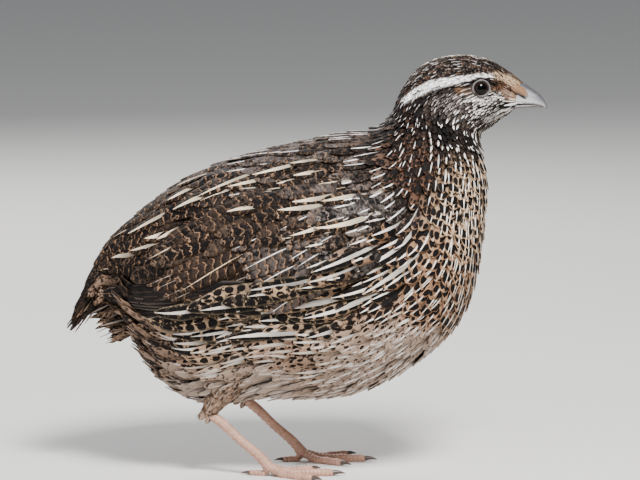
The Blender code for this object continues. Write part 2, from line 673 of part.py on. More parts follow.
def make_foot(name):
    _, hock, foot = leg_points(name)
    path = [toward(foot, hock, SHANK_FOOT), toward(foot, hock, STUB_REACH), foot - (0, 0, STUB_REACH)]
    stub = tube("foot", path, STUB_RADII)
    pieces = []
    shares = np.array(TOE_SHARES)
    for toe in TOES:
        way, floor = toe_way(toe, name), toe.radius - SOLE_CUT
        drop = np.maximum(floor, (foot[2] - TOE_SINK) * (1 - shares * 3) + floor * shares * 3)
        path = [foot * (1, 1, 0) + way * toe.length * share + (0, 0, z) for share, z in zip(shares, drop)]
        pieces.append(tube("toe_" + toe.name, path, toe.radius * np.array(TOE_PADS)))
    combine(stub, pieces, "UNION")
    bpy.ops.mesh.primitive_cube_add(size=0.1, location=(0, 0, -0.05))
    combine(stub, [bpy.context.object], "DIFFERENCE")
    finish(stub, f"foot_{name}", "leg_skin")
    for toe in TOES:
        way = toe_way(toe, name)
        height = toe.radius - SOLE_CUT
        start = foot * (1, 1, 0) + way * (toe.length + GAP) + (0, 0, height)
        length = CLAW_LENGTH * toe.radius / TOES[1].radius
        shares = np.linspace(0, 1, 5)
        arch = CLAW_ARCH * np.sin(math.pi * shares) - CLAW_DROP * shares
        path = [start + way * length * share + (0, 0, rise) for share, rise in zip(shares, arch)]
        claw = tube("claw", path, CLAW_ROOT * toe.radius * (1 - CLAW_TAPER * shares**1.3), 1)
        finish(claw, f"claw_{name}_{toe.name}", "claw_horn")


def main():
    for old in list(bpy.data.objects):
        bpy.data.objects.remove(old)
    bpy.context.scene.collection.children.link(bpy.data.collections.new("quail"))
    make_torso()
    make_neck()
    make_head()
    make_eyes()
    make_bill()
    make_wings()
    make_tail()
    for name in SIDES:
        make_thigh(name)
        make_shank(name)
        make_foot(name)


main()
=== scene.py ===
"""The looks of a life-size coturnix quail: skin, feathers, eyes, bill, legs and a plain stage.

Sizes are in millimetres, in the frame of the solids, and a mesh is scaled to metres as it is made.
The bird is a loft of sections from the tail to the bill. A place on it is how far along its middle line
it is and its turn round the section, from 0 on the back to pi on the belly. Every feather is laid from
its root along that surface.
"""

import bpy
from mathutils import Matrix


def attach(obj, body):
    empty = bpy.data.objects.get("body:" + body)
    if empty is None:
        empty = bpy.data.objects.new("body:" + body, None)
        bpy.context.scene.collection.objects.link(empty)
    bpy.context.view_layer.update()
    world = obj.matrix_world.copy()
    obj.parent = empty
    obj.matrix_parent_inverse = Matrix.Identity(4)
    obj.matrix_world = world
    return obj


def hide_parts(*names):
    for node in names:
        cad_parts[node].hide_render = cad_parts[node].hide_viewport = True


bl_info = {
    "name": "Coturnix quail",
    "version": (1, 0, 0),
    "blender": (4, 5, 0),
    "location": "3D View > Sidebar > Quail",
    "description": "Builds a life-size female coturnix quail, feather by feather, on a plain floor",
    "category": "Add Mesh",
}

import math
from collections import namedtuple

import bmesh
import bpy
import numpy as np
from mathutils import Vector

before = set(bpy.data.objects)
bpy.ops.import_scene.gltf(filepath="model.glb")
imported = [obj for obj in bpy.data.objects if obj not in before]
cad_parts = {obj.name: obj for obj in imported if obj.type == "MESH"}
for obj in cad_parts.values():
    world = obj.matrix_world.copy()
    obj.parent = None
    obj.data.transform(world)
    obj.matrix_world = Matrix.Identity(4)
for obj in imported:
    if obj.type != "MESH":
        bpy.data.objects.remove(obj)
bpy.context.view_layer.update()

MM = 0.001
SIDES = {"left": 1.0, "right": -1.0}

# The body's sections, as in the solids: where each meets the back and the belly, as (x, z), and its half
# width. The first two carry the surface on over the tail.
Section = namedtuple("Section", "back belly half_width")
TAIL_END = Section((-78.6, 53.0), (-77.0, 50.0), 5.4)
TAIL_MID = Section((-74.6, 62.0), (-72.6, 53.6), 6.4)
TAIL_ROOT = Section((-69.0, 73.7), (-65.0, 56.3), 8.0)
RUMP = Section((-57.3, 86.1), (-48.9, 32.8), 21.0)
LOIN = Section((-36.1, 100.8), (-18.7, 24.1), 30.0)
BACK = Section((-5.3, 110.2), (14.8, 25.5), 33.2)
SHOULDER = Section((13.1, 114.1), (37.6, 36.5), 32.0)
BREAST = Section((22.1, 115.7), (53.0, 52.6), 28.0)
CROP = Section((26.8, 118.6), (60.3, 86.1), 20.5)
NECK_BASE = Section((29.2, 121.9), (60.0, 104.5), 16.0)
THROAT = Section((30.5, 125.3), (58.3, 112.6), 13.0)
NAPE = Section((33.2, 130.6), (60.7, 115.2), 11.6)
CHEEK = Section((40.2, 137.3), (63.7, 117.4), 10.9)
EYE = Section((51.6, 139.9), (65.9, 119.1), 8.9)
LORE = Section((62.3, 137.7), (67.9, 120.6), 6.3)
BILL_BASE = Section((71.4, 131.5), (69.7, 122.1), 3.6)
BODY = [TAIL_END, TAIL_MID, TAIL_ROOT, RUMP, LOIN, BACK, SHOULDER, BREAST, CROP, NECK_BASE]
BODY += [THROAT, NAPE, CHEEK, EYE, LORE, BILL_BASE]
ROUNDNESS = 2.2

# Swellings of the head: section, how far past it, turn and reach both ways, and height.
Swelling = namedtuple("Swelling", "section past turn reach turn_reach height")
SWELLINGS = [
    Swelling(EYE, 0.5, 62.0, 6.0, 16.0, 0.75),  # brow
    Swelling(CHEEK, 1.0, 116.0, 5.5, 24.0, 0.8),  # cheek
    Swelling(LORE, 0.5, 88.0, 3.6, 22.0, -0.7),  # hollow before the eye
    Swelling(LORE, -1.5, 140.0, 5.0, 22.0, 0.4),  # jaw
]

# The eye, as in the solids: the middle of the eyeball as (x, distance from the midline, z), and its look.
EYEBALL_RADIUS = 3.3
EYE_AT = (57.8, 6.5, 129.2)
EYE_FORWARD, EYE_UP = math.radians(14.0), math.radians(5.0)

# The folded wing's outline on the bird's side, and the part of it that no body feather covers, in (x, z).
WRIST, WING_TIP = (29.5, 85.5), (-65.0, 62.6)
WING_UPPER_EDGE = [WRIST, (17.0, 98.5), (-10.0, 99.0), (-35.0, 88.0), (-54.0, 73.5), WING_TIP]
WING_LOWER_EDGE = [WRIST, (19.0, 69.0), (-3.0, 61.0), (-28.0, 52.5), (-50.0, 51.5), WING_TIP]
WING_RISE, WING_SLOPE = 4.2, 5.5  # how far the wing lifts what lies over it, and within what distance
WING_WINDOW = [
    (20.5, 82.5), (12.5, 72.4), (-2.0, 68.2), (-17.0, 63.2), (-27.0, 58.8), (-34.0, 53.5), (-38.5, 49.0),
    (-50.0, 50.0), (-62.0, 58.0), (-55.0, 62.5), (-46.0, 68.0), (-33.8, 77.0), (-20.4, 82.5), (-2.0, 83.0),
    (12.0, 84.4),
]


def linear(colour):
    """A linear RGB colour from an sRGB hex value."""
    parts = [int(colour[i : i + 2], 16) / 255 for i in (1, 3, 5)]
    return tuple(p / 12.92 if p <= 0.04045 else ((p + 0.055) / 1.055) ** 2.4 for p in parts)


def pigment(name, description, colour):
    return bpy.props.FloatVectorProperty(
        name=name, description=description, subtype="COLOR", size=3, min=0.0, max=1.0, default=linear(colour)
    )


class QuailColours(bpy.types.PropertyGroup):
    """Pigments of the feathers and of the bare parts."""

    ink: pigment("Ink", "Black-brown of spots and blotches", "#0C0808")
    umber: pigment("Umber", "Dark brown of crown, rump and wing", "#211813")
    bark: pigment("Bark", "Mid brown of back and coverts", "#41332A")
    ash: pigment("Ash", "Grey-brown of mantle and shoulder", "#6A6462")
    slate: pigment("Slate", "Dusky grey of the primaries", "#1A1515")
    rufous: pigment("Rufous", "Red-brown of neck, lores and flank", "#65432F")
    buff: pigment("Buff", "Buff of breast and bars", "#967357")
    sand: pigment("Sand", "Pale buff-grey of lower breast and belly", "#9C8D82")
    cream: pigment("Cream", "Cream of the long streaks on the back", "#EBD2AC")
    white: pigment("White", "White of brow, throat and shafts", "#FBF8F5")
    horn: pigment("Horn", "Grey horn of the bill", "#6D6C71")
    operculum: pigment("Operculum", "Skin over the nostril", "#7F5D42")
    leg: pigment("Leg", "Flesh colour of legs and toes", "#B98E78")
    claw: pigment("Claw", "Brown horn of the claws", "#4E3F37")
    iris: pigment("Iris", "Dark brown of the iris", "#1A0E09")
    lid: pigment("Lid", "Grey skin of the eyelids", "#6C6765")
    floor: pigment("Floor", "Pale floor", "#D9D7D3")


class QuailSizes(bpy.types.PropertyGroup):
    """Sizes that shape the coat and the view."""

    coat_depth: bpy.props.FloatProperty(
        name="Coat depth", description="From the skin out to the tips of the body feathers",
        default=0.0017, unit="LENGTH",
    )
    face_depth: bpy.props.FloatProperty(
        name="Face depth", description="The coat's depth on the head", default=0.0007, unit="LENGTH"
    )
    ruffle: bpy.props.FloatProperty(
        name="Ruffle", description="How unevenly the feathers lie", default=1.0, min=0.0, max=3.0,
        subtype="FACTOR",
    )
    seed: bpy.props.IntProperty(name="Seed", description="Picks another bird of the same kind", default=11)
    camera_distance: bpy.props.FloatProperty(
        name="Camera distance", description="From the bird to the camera", default=1.2, unit="LENGTH"
    )
    camera_azimuth: bpy.props.FloatProperty(
        name="Camera azimuth", description="Round from the bird's right side", default=math.radians(2.0),
        subtype="ANGLE",
    )
    camera_elevation: bpy.props.FloatProperty(
        name="Camera elevation", description="Above the horizon", default=math.radians(7.0), subtype="ANGLE"
    )


def unit(vectors):
    """Vectors of length 1 that point the same way."""
    return vectors / np.linalg.norm(vectors, axis=-1, keepdims=True)


def lengths_along(path):
    """The distance along a path to each of its points."""
    return np.concatenate([[0], np.cumsum(np.linalg.norm(np.diff(path, axis=0), axis=1))])


def natural_spline(knots, values):
    """A function that passes through the values at the knots with no break in its curvature."""
    knots, values = np.asarray(knots, float), np.asarray(values, float)
    step = np.diff(knots)
    slope = np.diff(values, axis=0) / step[:, None]
    count = len(knots)
    system, right = np.eye(count), np.zeros_like(values)
    for i in range(1, count - 1):
        system[i, i - 1 : i + 2] = step[i - 1], 2 * (step[i - 1] + step[i]), step[i]
        right[i] = 6 * (slope[i] - slope[i - 1])
    bend = np.linalg.solve(system, right)

    def at(place):
        place = np.clip(np.asarray(place, float), knots[0], knots[-1])
        i = np.clip(np.searchsorted(knots, place) - 1, 0, count - 2)
        h = step[i][..., None]
        a = (knots[i + 1] - place)[..., None] / h
        b = 1 - a
        curve = (a**3 - a) * bend[i] + (b**3 - b) * bend[i + 1]
        return a * values[i] + b * values[i + 1] + curve * h**2 / 6

    return at


def even_spline(values):
    """A natural spline through the values, from 0 at the first to 1 at the last."""
    return natural_spline(np.linspace(0, 1, len(values)), values)


STATIONS = lengths_along([np.add(s.back, s.belly) / 2 for s in BODY])
STATIONS -= STATIONS[BODY.index(TAIL_ROOT)]
BODY_SPLINE = natural_spline(STATIONS, [[*s.back, *s.belly, s.half_width] for s in BODY])
# How far inside its ends the loft turns straight, and the step that measures its slope there.
END_INSET, END_STEP = 0.05, 0.02
SIDE_STEPS, SIDE_EDGE = 1500, 0.98  # steps in a search along the body, and the share of its height used


def station(section, past=0.0):
    """How far along the body's middle line a section is from the tail root."""
    return float(STATIONS[BODY.index(section)]) + past


def plain_point(along, turn):
    """A point on the loft, before the head's swellings. Past either end the loft goes straight on."""
    held = np.clip(along, STATIONS[0] + END_INSET, STATIONS[-1] - END_INSET)
    slope = (BODY_SPLINE(held + END_STEP) - BODY_SPLINE(held - END_STEP)) / (2 * END_STEP)
    numbers = BODY_SPLINE(held) + slope * (along - held)[..., None]
    up, side = np.cos(turn), np.sin(turn)
    radius = (np.abs(up) ** ROUNDNESS + np.abs(side) ** ROUNDNESS) ** (-1 / ROUNDNESS)
    up, side = radius * up, radius * side
    back, belly = numbers[..., 0:2], numbers[..., 2:4]
    flat = (back + belly) / 2 + up[..., None] * (back - belly) / 2
    return np.stack([flat[..., 0], numbers[..., 4] * side, flat[..., 1]], axis=-1)


def surface(along, turn):
    """Point, its change along the body and round it, and the outward normal."""
    step = 0.01
    along, turn = np.broadcast_arrays(np.asarray(along, float), np.asarray(turn, float))
    by_length = (plain_point(along + step, turn) - plain_point(along - step, turn)) / (2 * step)
    by_turn = (plain_point(along, turn + step) - plain_point(along, turn - step)) / (2 * step)
    normal = unit(np.cross(by_length, by_turn))
    raised = 0
    for s in SWELLINGS:
        off_length = (along - station(s.section, s.past)) / s.reach
        off_turn = (np.degrees(np.abs(turn)) - s.turn) / s.turn_reach
        raised = raised + s.height * np.exp(-(off_length**2) - off_turn**2)
    return plain_point(along, turn) + normal * raised[..., None], by_length, by_turn, normal


def place_on_side(points):
    """The (along, turn) of the bird's left side where it shows at each (x, z), seen from the side."""
    points = np.atleast_2d(points)
    along = np.linspace(STATIONS[0], STATIONS[-1], SIDE_STEPS)
    numbers = BODY_SPLINE(along)
    back, belly = numbers[:, 0:2], numbers[:, 2:4]
    off = points[:, None] - back
    down = belly - back
    ahead = down[:, 0] * off[..., 1] - down[:, 1] * off[..., 0]
    i = np.maximum(np.argmax(ahead < 0, axis=1), 1)
    row = np.arange(len(points))
    share = ahead[row, i - 1] / (ahead[row, i - 1] - ahead[row, i])
    place = along[i - 1] + share * (along[i] - along[i - 1])
    numbers = BODY_SPLINE(place)
    middle = (numbers[:, 0:2] + numbers[:, 2:4]) / 2
    half = numbers[:, 0:2] - middle
    up = np.clip(((points - middle) * half).sum(1) / (half**2).sum(1), -SIDE_EDGE, SIDE_EDGE)
    side = (1 - np.abs(up) ** ROUNDNESS) ** (1 / ROUNDNESS)
    return place, np.arctan2(side, up)


def smooth(value, low, high):
    """0 below low and 1 above high, with a smooth rise between. High may be the lower one."""
    share = np.clip((value - low) / (high - low), 0, 1)
    return share * share * (3 - 2 * share)


def off_line(points, line):
    """The distance of each point from a line through the given points, and how far along it that is."""
    line = np.asarray(line, float)
    start, way = line[:-1], np.diff(line, axis=0)
    off = points[:, None] - start
    share = np.clip((off * way).sum(-1) / np.maximum((way**2).sum(-1), 1e-9), 0, 1)
    gap = np.linalg.norm(off - share[..., None] * way, axis=-1)
    best = gap.argmin(axis=1)
    row = np.arange(len(points))
    return gap[row, best], (best + share[row, best]) / len(way)


def inside(points, outline):
    """How far each point is inside a closed outline, less than 0 outside it."""
    outline = np.asarray(outline, float)
    closed = np.vstack([outline, outline[:1]])
    gap, _ = off_line(points, closed)
    x, z = points[:, 0, None], points[:, 1, None]
    (x0, z0), (x1, z1) = closed[:-1].T, closed[1:].T
    crosses = (z0 > z) != (z1 > z)
    at = x0 + (z - z0) * (x1 - x0) / np.where(z1 == z0, 1e-9, z1 - z0)
    within = (crosses & (x < at)).sum(axis=1) % 2 == 1
    return np.where(within, gap, -gap)


WING_OUTLINE = np.vstack([
    even_spline(WING_UPPER_EDGE)(np.linspace(0, 1, 24)),
    even_spline(WING_LOWER_EDGE)(np.linspace(1, 0, 24)),
])


def wing_rise(points):
    """How far the folded wing lifts the feathers that lie over it, at points of the side view."""
    return WING_RISE * smooth(inside(points, WING_OUTLINE), 0.0, WING_SLOPE)


# What the feathers of one part of the bird look like. Ground, dark, pale and bar are mixtures of pigments:
# the vane's own colour, its spots, the streak along its shaft, and its cross bars and fringe.
Plumage = namedtuple("Plumage", "ground dark pale bar sizes marks")
# From one feather to the next along the body and across it, and the feather's length and half width.
SIZES = ("row", "across", "length", "half_width")
# The pale streak's half width, the length of its point and how many feathers have it; how big the spots
# are and how far apart; the strength of bars, flecks and pale fringe; and how many feathers are dark.
MARKS = ("streak", "point", "often", "spots", "pitch", "bars", "flecks", "fringe", "blotch")
PLUMAGES = {
    "forehead": Plumage(
        {"buff": 2, "rufous": 1}, "ink", {"white": 1, "cream": 1}, {"cream": 1, "buff": 1},
        (0.90, 0.80, 2.4, 0.52), (0.11, 1.0, 0.3, 0, 3, 0, 0.5, 0.3, 0.4),
    ),
    "crown": Plumage(
        {"umber": 1, "bark": 2, "rufous": 1}, "ink", {"white": 1, "sand": 1}, {"sand": 2, "buff": 1},
        (1.35, 1.15, 4.1, 0.82), (0.12, 1.3, 0.3, 1.6, 1.8, 0, 0.3, 0.3, 0.55),
    ),
    "ear": Plumage(
        {"ash": 2, "bark": 1}, "umber", {"white": 1, "sand": 1}, "sand",
        (1.00, 0.75, 3.6, 0.45), (0.10, 2.0, 0.4, 0, 3, 0, 0.6, 0.1, 0.45),
    ),
    "lore": Plumage(
        {"bark": 2, "buff": 2}, "ink", {"sand": 1, "buff": 2}, {"sand": 1, "buff": 1},
        (0.75, 0.66, 2.2, 0.40), (0.09, 1.2, 0.3, 0, 3, 0, 0.6, 0.2, 0.6),
    ),
    "cheek": Plumage(
        {"umber": 1, "bark": 1}, "ink", {"white": 5, "cream": 1}, "white",
        (1.05, 0.90, 2.7, 0.56), (0.26, 0.8, 0.75, 0, 3, 0, 0.2, 0.1, 0.4),
    ),
    # the throat's dark ground is partly its own mottling and partly painted shade under the jaw
    "throat": Plumage(
        {"umber": 3, "bark": 1}, "ink", {"white": 2, "sand": 3, "buff": 1}, "sand",
        (1.25, 1.00, 3.3, 0.66), (0.17, 1.3, 0.65, 0, 3, 0, 0.2, 0.1, 0.6),
    ),
    "patch": Plumage(
        {"ink": 1}, "ink", {"white": 3, "sand": 1}, "umber",
        (1.70, 1.45, 4.4, 0.95), (0.40, 1.2, 0.24, 1.3, 3, 0, 0, 0.1, 0),
    ),
    "nape": Plumage(
        {"umber": 3, "bark": 1, "rufous": 1}, "ink", {"white": 3, "sand": 1}, "bark",
        (1.70, 1.45, 5.0, 0.95), (0.17, 1.6, 0.36, 1.2, 2.3, 0, 0.3, 0.15, 0.6),
    ),
    "neck": Plumage(
        {"rufous": 2, "umber": 1}, "ink", {"white": 3, "cream": 1}, "buff",
        (2.70, 2.4, 8.0, 1.50), (0.15, 3.0, 0.4, 1.2, 3.3, 0, 0.3, 0.1, 0.45),
    ),
    "bib": Plumage(
        {"buff": 3, "cream": 1}, "ink", {"white": 3, "cream": 1}, {"buff": 2, "rufous": 1},
        (4.40, 4.5, 11.5, 2.75), (0.24, 2.8, 0.9, 1.5, 4.4, 0, 0.1, 0.3, 0),
    ),
    "breast": Plumage(
        {"buff": 6, "rufous": 1}, "ink", {"white": 2, "cream": 1, "sand": 1}, {"buff": 2, "rufous": 1},
        (4.90, 5.0, 13.5, 3.1), (0.28, 3.6, 0.8, 1.45, 4.8, 0, 0.15, 0.3, 0.15),
    ),
    "low_breast": Plumage(
        {"sand": 2, "buff": 1}, "umber", {"white": 1, "sand": 1}, {"sand": 1, "buff": 1},
        (4.20, 4.0, 12.0, 2.5), (0.45, 3.0, 0.7, 0.5, 5.0, 0, 0.15, 0.35, 0),
    ),
    "belly": Plumage(
        {"sand": 3, "buff": 1}, "bark", {"white": 1, "sand": 2}, {"sand": 2, "white": 1},
        (3.90, 3.4, 12.0, 2.1), (0.40, 4.0, 0.5, 0, 4, 0, 0.15, 0.3, 0),
    ),
    "side": Plumage(
        {"rufous": 1, "buff": 2}, "ink", {"white": 2, "cream": 1}, "buff",
        (5.40, 4.2, 16.0, 2.6), (0.48, 6.0, 0.8, 1.5, 4.8, 0, 0.3, 0.15, 0.5),
    ),
    "flank": Plumage(
        {"rufous": 1, "buff": 3, "cream": 1}, "ink", {"white": 3, "sand": 3, "cream": 1}, "cream",
        (7.60, 4.6, 25.0, 3.0), (0.62, 8.0, 0.7, 1.55, 3.8, 0, 0.2, 0.1, 0.45),
    ),
    "low_flank": Plumage(
        {"buff": 3, "rufous": 1, "sand": 1}, "ink", {"white": 1, "sand": 3, "cream": 1}, "sand",
        (6.40, 4.6, 20.0, 3.0), (0.62, 7.0, 0.6, 1.0, 4.4, 0, 0.2, 0.3, 0.2),
    ),
    "shoulder": Plumage(
        {"ash": 2, "bark": 1}, "ink", "white", "sand",
        (4.00, 3.2, 12.5, 2.2), (0.26, 3.6, 0.5, 0, 3.5, 0.3, 0.9, 0.1, 0.3),
    ),
    "mantle": Plumage(
        {"bark": 1, "ash": 1}, "ink", "white", "buff",
        (4.80, 3.8, 15.0, 2.5), (0.22, 4.0, 0.3, 0, 4, 0.6, 0.7, 0.1, 0.5),
    ),
    "scapular": Plumage(
        {"bark": 1, "umber": 1}, "ink", "cream", "buff",
        (6.40, 4.6, 21.0, 3.1), (0.12, 6.0, 0.1, 0, 4, 1, 0.35, 0.1, 0.5),
    ),
    "rump": Plumage(
        {"umber": 3, "bark": 1}, "ink", "cream", "buff",
        (5.20, 4.0, 18.0, 2.8), (0.14, 6.0, 0.05, 0, 4, 0.8, 0.25, 0.1, 0.7),
    ),
    "uppertail": Plumage(
        {"umber": 1, "ink": 1}, "ink", "cream", {"bark": 2, "buff": 1},
        (4.40, 3.0, 15.0, 2.1), (0.12, 4.0, 0, 0, 4, 0.45, 0.2, 0.1, 0.5),
    ),
    "vent": Plumage(
        {"bark": 1, "buff": 2, "rufous": 1, "sand": 1}, "ink", "sand", "buff",
        (3.60, 2.8, 12.0, 1.6), (0.3, 4.0, 0.3, 0.5, 4, 0, 0.3, 0.3, 0.45),
    ),
}
# How loosely some plumages lie. The others lie at 1.
LOOSE = {
    "vent": 4.5, "belly": 2.4, "low_breast": 1.5, "patch": 1.8, "throat": 1.5, "nape": 1.4, "crown": 1.3,
}
COLOURS = ("ground", "dark", "pale", "bar")

# Where each plumage grows, as (x, z) seen from the side, and how far it reaches.
Landmark = namedtuple("Landmark", "plumage at reach")
LANDMARKS = [
    Landmark("forehead", (70.0, 131.0), 3.0),
    Landmark("crown", (64.0, 136.0), 3.5),
    Landmark("crown", (54.0, 137.5), 4.5),
    Landmark("crown", (41.5, 134.0), 4.5),
    Landmark("ear", (48.5, 125.8), 4.2),
    Landmark("lore", (66.0, 129.4), 2.4),
    Landmark("cheek", (65.5, 125.8), 2.6),
    Landmark("cheek", (58.5, 123.8), 3.2),
    Landmark("throat", (62.0, 119.0), 2.8),
    Landmark("patch", (54.5, 114.5), 4.8),
    Landmark("patch", (46.5, 118.5), 5.8),
    Landmark("nape", (35.0, 123.0), 6.0),
    Landmark("neck", (36.5, 109.0), 6.5),
    Landmark("neck", (40.5, 103.0), 6.0),
    Landmark("bib", (48.0, 100.0), 5.5),
    Landmark("bib", (57.0, 105.5), 6.0),
    Landmark("bib", (54.0, 92.0), 7.5),
    Landmark("breast", (47.0, 82.0), 9.0),
    Landmark("breast", (50.0, 66.0), 8.0),
    Landmark("low_breast", (43.0, 50.0), 10.0),
    Landmark("low_breast", (25.0, 38.0), 10.0),
    Landmark("belly", (-2.0, 28.0), 10.0),
    Landmark("belly", (-27.0, 29.0), 10.0),
    Landmark("side", (36.0, 88.0), 6.0),
    Landmark("side", (33.0, 72.0), 8.0),
    Landmark("flank", (12.0, 60.0), 10.0),
    Landmark("flank", (-16.0, 54.0), 10.0),
    Landmark("low_flank", (10.0, 46.0), 9.0),
    Landmark("low_flank", (-25.0, 43.0), 10.0),
    Landmark("shoulder", (28.0, 95.0), 8.0),
    Landmark("mantle", (14.0, 107.0), 8.0),
    Landmark("mantle", (-8.0, 106.0), 8.0),
    Landmark("scapular", (4.0, 93.0), 9.0),
    Landmark("scapular", (-20.0, 94.0), 10.0),
    Landmark("rump", (-50.0, 81.0), 11.0),
    Landmark("uppertail", (-69.0, 68.0), 8.0),
    Landmark("vent", (-64.0, 50.0), 9.0),
    Landmark("vent", (-55.0, 40.0), 11.0),
    Landmark("vent", (-42.0, 34.0), 8.0),
]
MOSAIC = 0.5  # how far single feathers take after a plumage next to their own

# Plumes with a bold pale streak, which lie over the others: the middle of each streak, as (x, z), and its
# length. Those of the back are cream, and those along the wing's lower edge are white.
BACK_STREAKS = [
    (-53.3, 83.6, 13.0), (-49.0, 80.6, 6.5), (-43.6, 81.8, 7.5), (-54.0, 76.9, 8.0), (-35.5, 92.9, 11.0),
    (-42.5, 94.2, 6.5), (-28.6, 99.6, 14.0), (-40.1, 99.6, 6.5), (-20.1, 89.2, 9.5), (-19.9, 99.2, 9.0),
    (-18.1, 93.9, 7.0), (-10.4, 104.0, 10.5), (-1.3, 105.8, 5.5), (-5.7, 99.4, 7.0), (0.4, 102.2, 6.5),
    (-3.9, 89.1, 9.5), (3.5, 86.0, 11.0), (14.8, 86.8, 13.5), (13.9, 93.1, 12.5), (2.6, 92.6, 7.5),
    (9.0, 98.6, 7.0), (-31.0, 88.2, 6.0), (-61.5, 73.5, 7.0),
]
SIDE_STREAKS = [
    (9.2, 74.7, 14.0), (24.5, 76.4, 14.0), (8.5, 66.9, 20.0), (-7.2, 59.2, 18.0), (-20.0, 55.6, 16.0),
    (26.5, 69.0, 14.0), (7.0, 58.2, 20.0), (-14.0, 49.8, 17.0), (18.5, 62.0, 16.0),
]
STREAK_WIDTHS = (0.6, 1.05)  # narrowest and widest half width

# Stripes of the head in the side view: the line, its half widths at even steps along it, the softness of
# its edge, its pigments and how much of it covers what lies under it.
Stripe = namedtuple("Stripe", "line half_widths softness pigments strength")
STRIPES = [
    # dark line behind the eye, and the dark side of the nape under the brow
    Stripe([(44.5, 128.4), (49.0, 129.6), (53.6, 129.9)], (1.0, 0.9, 0.5), 0.5,
           {"ink": 1, "umber": 1}, 0.85),
    Stripe([(36.5, 124.0), (41.0, 126.6), (45.0, 127.8)], (1.2, 1.1, 0.7), 0.6, {"ink": 1}, 0.7),
    # lores
    Stripe([(61.3, 130.6), (65.0, 129.9), (68.3, 129.2)], (1.1, 0.9, 0.7), 0.7,
           {"rufous": 2, "umber": 1}, 0.8),
    Stripe([(61.0, 130.8), (63.2, 130.6)], (0.7, 0.6, 0.5), 0.6, {"umber": 1, "ink": 1}, 0.8),
    # dark ridge of the forehead
    Stripe([(62.0, 137.4), (66.5, 134.9), (72.5, 130.9)], (1.0, 0.9, 0.5), 0.5,
           {"ink": 1, "umber": 2}, 0.75),
    # brow
    Stripe([(33.1, 125.3), (36.4, 127.8), (41.7, 130.5), (46.4, 131.6), (51.8, 132.5), (57.5, 133.5),
            (62.4, 133.5)], (0.7, 1.15, 1.4, 1.2, 0.95, 0.65, 0.5), 0.25, {"white": 1}, 1.0),
    # warm front of the brow, and the warm feathers between the eye and the gape
    Stripe([(62.8, 133.8), (66.5, 132.4), (70.0, 130.4)], (0.7, 0.9, 0.9), 0.7,
           {"buff": 2, "cream": 1}, 0.75),
    Stripe([(65.5, 127.8), (69.5, 126.4)], (0.8, 1.1), 0.8, {"buff": 2, "rufous": 1, "sand": 1}, 0.6),
    # round the eye: a dark line of painted shade over it, a warm patch behind it and a pale one under it
    Stripe([(54.2, 130.4), (55.4, 132.0), (57.8, 132.8), (60.2, 132.3), (61.9, 130.8)],
           (0.2, 0.3, 0.35, 0.35, 0.4), 0.3, {"ink": 1}, 0.9),
    Stripe([(50.5, 129.0), (54.2, 128.6)], (0.7, 0.9), 0.6, {"rufous": 1, "buff": 1}, 0.5),
    Stripe([(54.8, 126.2), (57.8, 125.2), (61.5, 125.8), (64.5, 126.8)], (0.5, 0.8, 0.8, 0.4), 0.5,
           {"white": 4, "sand": 1, "buff": 1}, 0.4),
    # dark patch behind the gape, the dark line under it and the pale stripe of the chin
    Stripe([(66.3, 124.2), (63.5, 123.4), (60.3, 122.9), (57.8, 123.4)], (0.3, 0.7, 0.6, 0.3), 0.5,
           {"ink": 1}, 0.8),
    Stripe([(66.5, 122.8), (61.2, 120.9), (57.0, 119.3), (53.5, 118.7)], (0.3, 0.35, 0.35, 0.3), 0.4,
           {"ink": 1}, 0.8),
    Stripe([(69.0, 122.6), (64.5, 120.8), (60.0, 118.6)], (0.5, 0.8, 0.6), 0.5,
           {"white": 1, "sand": 1}, 0.4),
]
CROWN_STRIPE = (38.0, 63.0, 0.55)  # from x to x, and its half width


def settings():
    return bpy.context.scene.quail_sizes


def mixed(pigments):
    """The colour of a mixture of pigments, given by name and parts."""
    if isinstance(pigments, str):
        pigments = {pigments: 1}
    colours = bpy.context.scene.quail_colours
    total = sum(pigments.values())
    return sum(np.array(getattr(colours, name)) * parts / total for name, parts in pigments.items())


def plumage_at(points, draws=None):
    """Numbers and colours of the plumage at points of the side view. Draws make a mosaic of neighbours."""
    gap = np.linalg.norm(points[:, None] - np.array([mark.at for mark in LANDMARKS]), axis=-1)
    weight = 1 / ((gap / np.array([mark.reach for mark in LANDMARKS])) ** 4 + 0.02)
    if draws is not None:
        weight = weight * np.exp(draws.normal(0, MOSAIC, weight.shape))
    weight = weight / weight.sum(axis=1, keepdims=True)
    kinds = [PLUMAGES[mark.plumage] for mark in LANDMARKS]
    made = dict(zip(SIZES, (weight @ np.array([kind.sizes for kind in kinds], float)).T))
    made.update(zip(MARKS, (weight @ np.array([kind.marks for kind in kinds], float)).T))
    made["loose"] = weight @ np.array([LOOSE.get(mark.plumage, 1.0) for mark in LANDMARKS])
    for name in COLOURS:
        made[name] = weight @ np.array([mixed(getattr(kind, name)) for kind in kinds])
    return made


def striped(colours, place):
    """Ground colours with the stripes of the head over them, at places in space."""
    flat = place[:, [0, 2]]
    colours = colours.copy()
    for stripe in STRIPES:
        gap, share = off_line(flat, stripe.line)
        width = np.interp(share, np.linspace(0, 1, len(stripe.half_widths)), stripe.half_widths)
        cover = stripe.strength * smooth(gap, width + stripe.softness, width)
        colours += (mixed(stripe.pigments) - colours) * cover[:, None]
    start, end, width = CROWN_STRIPE
    cover = smooth(np.abs(place[:, 1]), width * 1.6, width) * smooth(place[:, 2], 131.0, 134.0)
    cover = cover * smooth(place[:, 0], start, start + 3) * smooth(place[:, 0], end, end - 4)
    colours = colours + (mixed({"cream": 1, "white": 1}) - colours) * cover[:, None]
    return colours


# Feathers grow from a little behind the tail root to a little past the bill's base, and furthest forward
# over the forehead, within a turn of the back.
COAT_START, COAT_END, COAT_STEPS, COAT_TURNS = -4.0, 2.6, 700, 181
COAT_EDGE, FOREHEAD_REACH, FOREHEAD_TURN = 0.2, 2.2, 0.6


